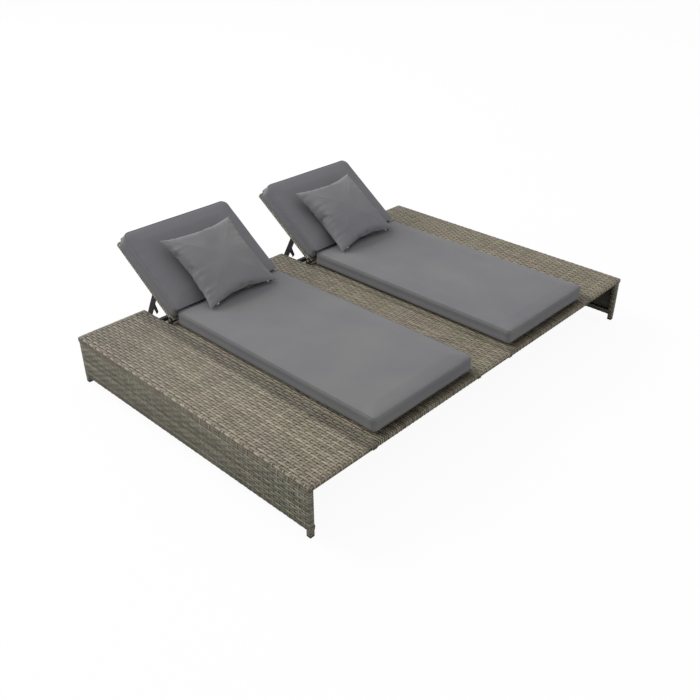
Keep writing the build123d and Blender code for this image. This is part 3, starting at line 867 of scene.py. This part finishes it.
class LOUNGER_OT_decks(bpy.types.Operator):
    """Weaves the side decks and the centre strip, over the beam, the rails and the head ends"""

    bl_idname = "lounger.decks"
    bl_label = "Decks and centre strip"

    def execute(self, context):
        wicker = context.scene.wicker
        material = strand_finish("deck_strands", wicker.color)
        skin = wicker.skin
        low, top = span("left_deck_weave", 2)
        place = axes((0, 0, top - skin / 2), (0, 1, 0), (-1, 0, 0))
        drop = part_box("front_beam_wrap")[0][2] - low
        front, behind = span("front_beam_wrap", 1)
        before, rear = span("rear_wraps", 1)
        front, rear = front + skin / 6, rear - skin / 6
        along = rounded([
            (behind, drop), (front, drop), (front, 0), (rear, 0), (rear, drop), (before, drop),
        ])
        strip_edge, bay_edge = span("right_seat_weave", 0)
        strip_edge, bay_edge = strip_edge - skin / 2, bay_edge + skin / 2
        outer = span("corner_leg_wraps", 0)[1] - skin / 2
        band = skin - wicker.tube
        deck = [(bay_edge + wicker.tube, drop), (bay_edge, drop), (bay_edge, 0), (outer, 0), (outer, band)]
        left, right = rounded(deck), rounded(turned_over(deck))
        # The rail lines are grooves where the strands lie lower, darkened with painted shade
        rail_lines = (bay_edge + wicker.tube - skin / 2, outer - wicker.tube + skin)
        # Painted shade in bands along the bay edges, beside the cushions: over the decks' inner rails and
        # along the strip's edges
        over, rail, dark, strip_dark = 0.01, 0.027, 0.06, 0.022
        deck_shade_bands = ((bay_edge - over, bay_edge + rail, 0.4), (bay_edge + rail, bay_edge + dark, 0.18))
        strip_shade_bands = ((strip_edge - strip_dark, strip_edge + over, 0.5),)
        half_strip = [(strip_edge, 0), (strip_edge, drop), (strip_edge - wicker.tube, drop)]
        strip = rounded(turned_over(half_strip) + half_strip)
        # Painted shade that grows towards the head ends of the decks and the strip
        head_end = (0.12, 0.5, 0.5)
        shared = ("rear_wraps", "bay_edge_wraps", "front_beam_wrap")
        for name, across, node, seed, bands, grooves in (
            ("left_deck_top", left, "left_deck_weave", 11, deck_shade_bands, rail_lines),
            ("right_deck_top", right, "right_deck_weave", 23, deck_shade_bands, rail_lines),
            ("centre_strip_top", strip, "centre_strip_weave", 37, strip_shade_bands, ()),
        ):
            bm = woven_mesh()
            woven_sheet(bm, along, across, place, seed, bands=bands, grooves=grooves, painted_end_shade=head_end)
            made = wicker_piece(name, bm, material, 0)
            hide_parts(node, *shared)
            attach(made, "base")
        return {"FINISHED"}


class LOUNGER_OT_side_panels(bpy.types.Operator):
    """Weaves the side panels round the corner legs, and winds the sleeves of the legs"""

    bl_idname = "lounger.side_panels"
    bl_label = "Side panels and corner sleeves"

    def execute(self, context):
        wicker = context.scene.wicker
        material = strand_finish("side_strands", wicker.side_color)
        skin = wicker.skin
        low, high = corners(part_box("corner_leg_wraps"))
        top = span("left_deck_weave", 2)[1] - wicker.tube + skin / 2
        bottom = span("left_side_weave", 2)[0] + skin / 2
        face = high.x - skin / 2
        front, rear = low.y + skin * 0.7, high.y - skin * 0.7
        turn = wicker.tube - skin
        along = rounded([
            (front + turn, -turn), (front, -turn), (front, 0),
            (rear, 0), (rear, -turn), (rear - turn, -turn),
        ])
        side_path = [(-top, 0), (-bottom, 0), (-bottom, -turn), (-bottom - turn, -turn)]
        left, right = rounded(side_path), rounded(turned_over(side_path))
        bands = [(bottom + start / 8 * (top - bottom), bottom + (start + count) / 8 * (top - bottom), tone)
                 for start, count, tone in SIDE_BANDS]
        for side, across, seed in (("left", left, 5), ("right", right, 7)):
            sign = side_sign(side)
            bm = woven_mesh()
            place = axes((sign * face, 0, 0), (0, 1, 0), (0, 0, sign))
            # The strands on the legs' front and rear faces are darkened with painted shade
            woven_sheet(bm, along, across, place, seed, bands=bands, painted_bend_shade=0.7)
            made = wicker_piece(f"{side}_side_panel", bm, material, 0)
            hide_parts(f"{side}_side_weave", "bottom_rail_wraps")
            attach(made, "base")
        self.sleeves(strand_finish("sleeve_strands", wicker.side_color * 0.8), low, high)
        return {"FINISHED"}

    def sleeves(self, material, low, high):
        """Strands wound round the four corner legs"""
        wicker = bpy.context.scene.wicker
        tube, inset = wicker.tube, wicker.skin / 2
        bm = woven_mesh()
        for sign in (-1, 1):
            x = sorted((sign * (high.x - inset), sign * (high.x - tube + inset)))
            for y in ((low.y + inset, low.y + tube - inset), (high.y - tube + inset, high.y - inset)):
                path = square_path((x[0], y[0]), (x[1], y[1]))
                # The sleeves' turns get dark edges of painted shade
                wound(bm, path, low.z, high.z - tube, wicker.strand_pitch, ALONG_Z, 3, painted_edge_shade=0.2)
        made = wicker_piece("corner_sleeves", bm, material, -1)
        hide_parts("corner_leg_wraps")
        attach(made, "base")


class LOUNGER_OT_beam_wraps(bpy.types.Operator):
    """Winds strands round the front beam where it passes the bays"""

    bl_idname = "lounger.beam_wraps"
    bl_label = "Wrapped front beam"

    def execute(self, context):
        wicker = context.scene.wicker
        material = strand_finish("wrap_strands", wicker.color)
        low, high = corners(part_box("front_beam_wrap"))
        tucked_in = (high.y + 0.012, high.z - 0.0005)
        path = rounded([(high.y, low.z), (low.y, low.z), (low.y, high.z), tucked_in])
        bay = span("right_seat_weave", 0)
        bm = woven_mesh()
        for start, end, seed in ((-bay[1], -bay[0], 43), (bay[0], bay[1], 53)):
            # Painted shade: the beam's top darkened as in the cushions' shadow, and dark edges between the
            # turns
            wound(bm, path, start, end, wicker.wrap_pitch, ALONG_X, seed, uneven=0.0007, fill=0.8,
                  painted_edge_shade=0.4, painted_top_shade=0.24)
        made = wicker_piece("front_beam_strands", bm, material, -1)
        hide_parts("front_beam_wrap")
        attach(made, "base")
        return {"FINISHED"}


class LOUNGER_OT_seat_beds(bpy.types.Operator):
    """Weaves the beds under the seat cushions"""

    bl_idname = "lounger.seat_beds"
    bl_label = "Seat beds"

    def execute(self, context):
        wicker = context.scene.wicker
        material = strand_finish("bed_strands", wicker.color)
        drop = wicker.skin - wicker.tube
        for side, seed in (("left", 79), ("right", 83)):
            low, high = corners(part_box(f"{side}_seat_weave"))
            place = axes((0, 0, (low.z + high.z) / 2), (0, 1, 0), (-1, 0, 0))
            end = high.y - wicker.skin / 2
            along = rounded([(low.y, 0), (end, 0), (end, drop), (end + drop, drop)])
            across = rounded([(-high.x - wicker.wave * 2, 0), (-low.x + wicker.wave * 2, 0)])
            bm = woven_mesh()
            woven_sheet(bm, along, across, place, seed, steps=2)
            made = wicker_piece(f"{side}_seat_bed", bm, material, 0)
            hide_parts(f"{side}_seat_weave")
            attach(made, "base")
        return {"FINISHED"}


class LOUNGER_OT_backrests(bpy.types.Operator):
    """Weaves the backrests' panels and winds strands round their edge tubes"""

    bl_idname = "lounger.backrests"
    bl_label = "Backrest weave"

    half_width: bpy.props.FloatProperty(
        name="Half width", description="From the bay's middle to the backrest's side", default=0.296,
        unit="LENGTH")
    length: bpy.props.FloatProperty(
        name="Length", description="From the hinge to the backrest's end", default=0.447, unit="LENGTH")

    def execute(self, context):
        wicker = context.scene.wicker
        material = strand_finish("backrest_strands", wicker.side_color)
        tube, lap = wicker.tube, 0.003
        half = tube / 2
        for side, seed in (("left", 89), ("right", 97)):
            place = back_place(side)
            inner = self.half_width - tube
            bm = woven_mesh()
            middle = place @ axes((0, 0, half - wicker.skin / 2), (0, 1, 0), (-1, 0, 0))
            along = rounded([(half - lap, 0), (self.length - tube + lap, 0)])
            across = rounded([(-inner - lap, 0), (inner + lap, 0)])
            woven_sheet(bm, along, across, middle, seed)
            made = wicker_piece(f"{side}_backrest_panel", bm, material, 0)
            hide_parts(f"{side}_backrest_weave")
            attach(made, f"{side}_backrest")
            bm = woven_mesh()
            for sign in (-1, 1):
                x = sorted((sign * inner, sign * self.half_width))
                path = square_path((-half, x[0]), (half, x[1]))
                wound(bm, path, -half, self.length, wicker.wrap_pitch, place @ ALONG_Y, seed)
            for start in (-half, self.length - tube):
                path = square_path((start, -half), (start + tube, half))
                wound(bm, path, -inner, inner, wicker.wrap_pitch, place @ ALONG_X, seed)
            made = wicker_piece(f"{side}_backrest_binding", bm, material, -1)
            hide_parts(f"{side}_backrest_wraps")
            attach(made, f"{side}_backrest")
        return {"FINISHED"}


class LOUNGER_OT_seat_cushions(bpy.types.Operator):
    """Makes the two long seat cushions and their seams"""

    bl_idname = "lounger.seat_cushions"
    bl_label = "Seat cushions"

    def execute(self, context):
        cushion = context.scene.cushion
        material = fabric_finish("cushion_fabric", cushion.color)
        clearance, rail_side, rail_rise = 0.002, 0.0115, 0.0062
        low, high = corners(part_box("left_seat_cushion"))
        size = high - low
        size = Vector((cushion.width, size.y - clearance, size.z))
        first = cushion_piece("left_seat_pad", size, cushion.seat_corner, material)
        second = copied(first, "right_seat_pad")
        for side, made, seed in (("left", first, 1), ("right", second, 2)):
            low, high = corners(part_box(f"{side}_seat_cushion"))
            ripple(made, depth=0.0016, scale=4.0, seed=seed)
            turned = Matrix.Rotation(math.pi, 4, "Z")
            if side == "right":
                turned = turned @ Matrix.Diagonal((-1, 1, 1, 1))
            place = Matrix.Translation((low + high) / 2 + Vector((cushion.shift, 0, 0))) @ turned
            made.data.transform(place)
            if side == "right":
                made.data.flip_normals()
            edge = hinges[f"{side}_recline"].x + (high.x - low.x) / 2 + rail_side
            for vert in made.data.vertices:
                vert.co.z = max(vert.co.z, low.z if vert.co.x < edge else low.z + rail_rise)
            soften(made)
            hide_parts(f"{side}_seat_cushion")
            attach(made, "base")
            half = size / 2
            radii = (cushion.seat_corner, cushion.hinge_corner)
            points = seam_points(made, place, half, half.z - SEAM_DROP, radii)
            seam = cord(f"{side}_seat_seam", points, cushion.seam, True, material)
            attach(seam, "base")
        return {"FINISHED"}


class LOUNGER_OT_back_cushions(bpy.types.Operator):
    """Makes the two back cushions, which fold where they meet the seat cushions, and their seams"""

    bl_idname = "lounger.back_cushions"
    bl_label = "Back cushions"

    def execute(self, context):
        cushion = context.scene.cushion
        material = bpy.data.materials.get("cushion_fabric")
        material = material or fabric_finish("cushion_fabric", cushion.color)
        lip_radius, lip_start, fold_length = 0.012, 0.03, 0.11
        length = cushion.back_end - cushion.back_start
        size = Vector((cushion.width, length, cushion.thickness))
        first = cushion_piece("left_back_pad", size, cushion.back_corner, material)
        second = copied(first, "right_back_pad")
        half = size / 2
        for side, made, seed in (("left", first, 3), ("right", second, 4)):
            ripple(made, depth=0.0014, scale=5.0, seed=seed)
            if side == "right":
                mirrored(made)
            middle = Vector((0, (cushion.back_start + cushion.back_end) / 2, cushion.back_under + half.z))
            place = back_place(side) @ Matrix.Translation(middle)
            seat_end = Vector(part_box(f"{side}_seat_cushion")[1])
            for vert in made.data.vertices:
                vert.co = self.clear_of_seat(place @ self.flared(vert.co, half, cushion), seat_end)
            soften(made)
            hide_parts(f"{side}_back_cushion")
            pieces = [made]
            radii = (cushion.back_corner, cushion.hinge_corner)
            top = seam_points(made, place, half, half.z - SEAM_DROP, radii)
            pieces.append(cord(f"{side}_back_seam", top, cushion.seam, True, material))
            wide = half + Vector((cushion.flare, cushion.flare, 0))
            low = seam_points(made, place, wide, -half.z - cushion.overhang, (lip_radius, lip_radius))
            low = [point for point in low if (place.inverted() @ point).y > -half.y + lip_start]
            start = max(range(len(low)), key=lambda index: (low[index] - low[index - 1]).length)
            low = low[start:] + low[:start]
            name = f"{side}_back_lower_seam"
            pieces.append(cord(name, low, cushion.seam, False, material))
            start = place @ Vector((0, -half.y, half.z))
            end = place @ Vector((0, fold_length - half.y, half.z))
            for each in pieces:
                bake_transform(each, "base", f"{side}_backrest", start=start, end=end)
        return {"FINISHED"}

    def flared(self, spot, half, cushion):
        """Point of the cushion, with its underside's rim standing out and hanging over the backrest's
        tubes, half as deep at the hinge"""
        lip_height, lead_in, rim_width, least_rim = 0.04, 0.08, 0.0105, 0.05
        side_slack, end_reach, end_share = 0.0005, 0.008, 0.6
        low = max(0.0, 1 - (spot.z + half.z) / lip_height)
        rear = max(0.0, min(1.0, (spot.y + half.y) / lead_in))
        beside = max(0.0, 1 - (half.x - abs(spot.x)) / rim_width)
        beyond = max(0.0, 1 - (half.y - spot.y) / rim_width)
        rim = min(1.0, max(beside, beyond) * 2) * low * rear
        wide = max(abs(spot.x), half.x - side_slack) if beside * rim > least_rim else abs(spot.x)
        long = max(spot.y, half.y + end_reach) if beyond * rim > least_rim else spot.y
        wide += cushion.flare * beside * low * rear
        long += cushion.flare * beyond * low * end_share
        drop = cushion.overhang * rim * (0.75 + 0.25 * spot.y / half.y)
        return Vector((math.copysign(wide, spot.x), long, max(spot.z, -half.z) - drop))

    def clear_of_seat(self, spot, seat_end):
        """Moves a point that lies in the seat cushion back out of its head end or its top"""
        gap = 0.0015
        behind = seat_end.y + gap - spot.y
        above = seat_end.z + gap - spot.z
        if behind <= 0 or above <= 0:
            return spot
        if above < behind:
            return Vector((spot.x, spot.y, spot.z + above))
        return Vector((spot.x, spot.y + behind, spot.z))


class LOUNGER_OT_pillows(bpy.types.Operator):
    """Makes the two scatter pillows with their zips"""

    bl_idname = "lounger.pillows"
    bl_label = "Scatter pillows"

    def execute(self, context):
        cushion = context.scene.cushion
        material = fabric_finish("pillow_fabric", cushion.pillow_color)
        tape = fabric_finish("zip_tape", (0.03, 0.03, 0.033))
        metal = bpy.data.materials.get("bare_steel") or steel_finish()
        first = self.cover(material)
        rim = self.rim_points()
        tape_radius, tape_rise, corner_points, hem = 0.0026, 0.0012, 4, 0.01
        second = copied(first, "right_scatter_pillow")
        for side, made, seed in (("left", first, 5), ("right", second, 6)):
            ripple(made, depth=0.003, scale=11.0, seed=seed)
            self.gathers(made, seed)
            if side == "right":
                mirrored(made)
            half = cushion.pillow_size / 2
            self.drawn_in(made)
            fit_box(made, (-half, -half, -cushion.pillow_back), (half, half, cushion.pillow_front))
            number = SIDES.index(side)
            place = back_place(side) @ Matrix.Translation(
                (cushion.pillow_shifts[number], cushion.pillow_along, cushion.pillow_above))
            place = place @ Matrix.Rotation(cushion.pillow_turns[number], 4, "Z")
            made.data.transform(place)
            edge = [made.data.vertices[index].co.copy() for index in rim]
            soften(made)
            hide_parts(f"{side}_pillow")
            down = (place.to_3x3() @ Vector((0, -1, -0.6))).normalized() * tape_rise
            line = [point + down for point in edge[corner_points:-corner_points]]
            zip_cord = cord(f"{side}_pillow_zip", line, tape_radius, False, tape)
            pieces = [made, zip_cord, self.sliders(f"{side}_zip_sliders", line, place, metal)]
            start = place @ Vector((0, -half - hem, 0))
            end = place @ Vector((0, 0, 0))
            for each in pieces:
                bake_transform(each, "base", f"{side}_backrest", start=start, end=end)
        return {"FINISHED"}

    def drawn_in(self, made):
        """Pulls a pillow's sides in between its corners"""
        cushion = bpy.context.scene.cushion
        half = max(abs(vert.co.x) for vert in made.data.vertices)
        for vert in made.data.vertices:
            x, y = vert.co.x / half, vert.co.y / half
            vert.co.x *= 1 - cushion.pillow_draw * (1 - min(1.0, y * y))
            vert.co.y *= 1 - cushion.pillow_draw * (1 - min(1.0, x * x))

    def gathers(self, made, seed):
        """Small folds that run in from the pillow's edges"""
        half = bpy.context.scene.cushion.pillow_cut / 2
        height, start, reach, turns = 0.006, 0.01, 0.035, 150
        for vert, flat in zip(made.data.vertices, self.flat):
            inward = half - max(abs(flat.x), abs(flat.y))
            along = flat.y if abs(flat.x) > abs(flat.y) else flat.x
            uneven = noise.noise(Vector((along * 14, seed * 3.7, math.copysign(4, flat.x + flat.y))))
            fold = math.sin(along * turns + uneven * 5) * (0.5 + uneven)
            share = min(1.0, inward / start) * math.exp(-inward / reach)
            vert.co.z += height * fold * share * math.copysign(1, flat.z)

    def rim_points(self):
        """Numbers of the points along the cover's lower rim, from one corner to the other"""
        cushion = bpy.context.scene.cushion
        points = [(spot.x, index) for index, spot in enumerate(self.flat)
                  if spot.y < -cushion.pillow_cut / 2 + 0.0001 and spot.z > 0]
        return [index for _, index in sorted(points)]

    def sliders(self, name, line, place, metal):
        """Two small zip sliders with their pulls, near the ends of the zip"""
        body_size = Matrix.Diagonal((0.009, 0.006, 0.0055, 1))
        pull_size = Matrix.Diagonal((0.015, 0.0045, 0.0016, 1))
        pull_place = Matrix.Translation((-0.013, -0.002, 0.001))
        bm = bmesh.new()
        for index, way in ((3, 1), (len(line) - 4, -1)):
            spot = line[index]
            along = (line[index + way] - line[index - way]).normalized()
            up = place.to_3x3() @ Vector((0, 0, 1))
            turn = axes(spot, along, up.cross(along).normalized())
            body = bmesh.ops.create_cube(bm, size=1.0, matrix=turn @ body_size)
            pull = bmesh.ops.create_cube(bm, size=1.0, matrix=turn @ pull_place @ pull_size)
            for each, radius in ((body, 0.0015), (pull, 0.0006)):
                edges = list({edge for vert in each["verts"] for edge in vert.link_edges})
                bmesh.ops.bevel(
                    bm, geom=edges, offset=radius, affect="EDGES", segments=2, profile=0.5, material=-1)
        return piece(name, bm, metal)

    def cover(self, material):
        """Two square sheets of fabric sewn together round their edge, and filled"""
        half = bpy.context.scene.cushion.pillow_cut / 2
        parts, seam_half, loft = 56, 0.001, 0.02
        bm = bmesh.new()
        for height in (-seam_half, seam_half):
            bmesh.ops.create_grid(
                bm, x_segments=parts, y_segments=parts, size=half,
                matrix=Matrix.Translation((0, 0, height)))
        lower = [face for face in bm.faces if face.calc_center_median().z < 0]
        bmesh.ops.reverse_faces(bm, faces=lower)
        rim = [edge for edge in bm.edges if edge.is_boundary]
        bmesh.ops.bridge_loops(bm, edges=rim)
        bmesh.ops.recalc_face_normals(bm, faces=bm.faces[:])
        self.flat = [vert.co.copy() for vert in bm.verts]
        for vert in bm.verts:
            side_share = 1 - max(abs(vert.co.x), abs(vert.co.y)) / half
            vert.co.z += math.copysign(loft * min(1.0, side_share * 3), vert.co.z)
        made = piece("left_scatter_pillow", bm, material)
        fill_cover(made, 2.0, frames=16, stiffness=40.0)
        return made


class LOUNGER_OT_studio(bpy.types.Operator):
    """Sets up the floor, the lights and the camera"""

    bl_idname = "lounger.studio"
    bl_label = "Studio"

    def execute(self, context):
        studio = context.scene.studio
        self.floor(studio)
        self.sky(studio)
        self.softbox("rear_softbox", studio.key, size=6.0, location=(-2.4, 7.9, 5.7))
        self.softbox("front_softbox", studio.fill, size=4.0, location=(1.2, -7.2, 1.6))
        self.camera(studio)
        context.scene.view_settings.view_transform = "Standard"
        return {"FINISHED"}

    def floor(self, studio):
        """White floor that keeps a faint shadow"""
        shadow_share = 0.06
        bm = bmesh.new()
        bmesh.ops.create_grid(bm, x_segments=1, y_segments=1, size=30.0)
        material, shader = finish("studio_floor", studio.floor, 1.0)
        shader.inputs["Specular IOR Level"].default_value = 0.0
        rays = add_node(material, "ShaderNodeLightPath")
        white = add_node(material, "ShaderNodeEmission")
        white.inputs["Color"].default_value = (1, 1, 1, 1)
        pale = add_node(material, "ShaderNodeBsdfDiffuse")
        pale.inputs["Color"].default_value = (0.95, 0.95, 0.95, 1)
        seen = add_node(material, "ShaderNodeMixShader")
        seen.inputs["Fac"].default_value = shadow_share
        shown = add_node(material, "ShaderNodeMixShader")
        links = material.node_tree.links
        links.new(white.outputs["Emission"], seen.inputs[1])
        links.new(pale.outputs["BSDF"], seen.inputs[2])
        links.new(rays.outputs["Is Camera Ray"], shown.inputs["Fac"])
        links.new(shader.outputs["BSDF"], shown.inputs[1])
        links.new(seen.outputs["Shader"], shown.inputs[2])
        links.new(shown.outputs["Shader"], material.node_tree.nodes["Material Output"].inputs["Surface"])
        mesh = bpy.data.meshes.new("studio_floor")
        bm.to_mesh(mesh)
        bm.free()
        mesh.materials.append(material)
        made = added("studio_floor", mesh)

    def sky(self, studio):
        """Even light from all round, white to the camera, also through clear things"""
        world = bpy.data.worlds.new("studio_sky")
        bpy.context.scene.world = world
        world.use_nodes = True
        tree = world.node_tree
        soft = tree.nodes["Background"]
        soft.inputs["Color"].default_value = (1, 1, 1, 1)
        soft.inputs["Strength"].default_value = studio.sky
        white = add_node(world, "ShaderNodeBackground")
        white.inputs["Color"].default_value = (1, 1, 1, 1)
        white.inputs["Strength"].default_value = 1.0
        rays = add_node(world, "ShaderNodeLightPath").outputs
        either = [(0, rays["Is Camera Ray"]), (1, rays["Is Transmission Ray"])]
        both = add_node(world, "ShaderNodeMath", either, operation="MAXIMUM")
        parts = [("Fac", both.outputs[0]), (1, soft.outputs[0]), (2, white.outputs[0])]
        mix = add_node(world, "ShaderNodeMixShader", parts)
        tree.links.new(mix.outputs[0], tree.nodes["World Output"].inputs["Surface"])

    def softbox(self, name, power, size, location):
        """Large soft light, turned to the lounger"""
        light = bpy.data.lights.new(name, "AREA")
        light.shape = "SQUARE"
        light.size = size
        light.energy = power
        made = added(name, light)
        made.location = location
        aim = Vector((0, 0, 0.2)) - made.location
        made.rotation_euler = aim.to_track_quat("-Z", "Y").to_euler()

    def camera(self, studio):
        """Camera at the photograph's place"""
        lens = bpy.data.cameras.new("camera")
        lens.lens = studio.lens
        lens.sensor_width = 36.0
        lens.sensor_fit = "HORIZONTAL"
        lens.clip_end = 100.0
        made = added("camera", lens)
        made.location = studio.camera_place
        made.rotation_euler = (math.pi / 2 - studio.camera_tilt, 0, studio.camera_heading)
        bpy.context.scene.camera = made


class LOUNGER_PT_pieces(bpy.types.Panel):
    """Lists the lounger's operators and their sizes"""

    bl_idname = "LOUNGER_PT_pieces"
    bl_label = "Double chaise lounger"
    bl_space_type = "VIEW_3D"
    bl_region_type = "UI"
    bl_category = "Lounger"

    def draw(self, context):
        for operator in OPERATORS:
            self.layout.operator(operator.bl_idname)
        for settings in (context.scene.wicker, context.scene.cushion, context.scene.studio):
            box = self.layout.box()
            for name in settings.__annotations__:
                box.prop(settings, name)


SETTINGS = {"wicker": WickerSettings, "cushion": CushionSettings, "studio": StudioSettings}
OPERATORS = (
    LOUNGER_OT_steel, LOUNGER_OT_decks, LOUNGER_OT_side_panels, LOUNGER_OT_beam_wraps, LOUNGER_OT_seat_beds,
    LOUNGER_OT_backrests, LOUNGER_OT_seat_cushions, LOUNGER_OT_back_cushions, LOUNGER_OT_pillows,
    LOUNGER_OT_studio,
)


def register():
    for settings in SETTINGS.values():
        bpy.utils.register_class(settings)
    for name, settings in SETTINGS.items():
        setattr(bpy.types.Scene, name, bpy.props.PointerProperty(type=settings))
    for operator in OPERATORS:
        bpy.utils.register_class(operator)
    bpy.utils.register_class(LOUNGER_PT_pieces)


def unregister():
    bpy.utils.unregister_class(LOUNGER_PT_pieces)
    for operator in reversed(OPERATORS):
        bpy.utils.unregister_class(operator)
    for name, settings in SETTINGS.items():
        delattr(bpy.types.Scene, name)
        bpy.utils.unregister_class(settings)


def main():
    register()
    bpy.ops.lounger.steel()
    bpy.ops.lounger.decks()
    bpy.ops.lounger.side_panels()
    bpy.ops.lounger.beam_wraps()
    bpy.ops.lounger.seat_beds()
    bpy.ops.lounger.backrests()
    bpy.ops.lounger.seat_cushions()
    bpy.ops.lounger.back_cushions()
    bpy.ops.lounger.pillows()
    bpy.ops.lounger.studio()


if __name__ == "__main__":
    main()
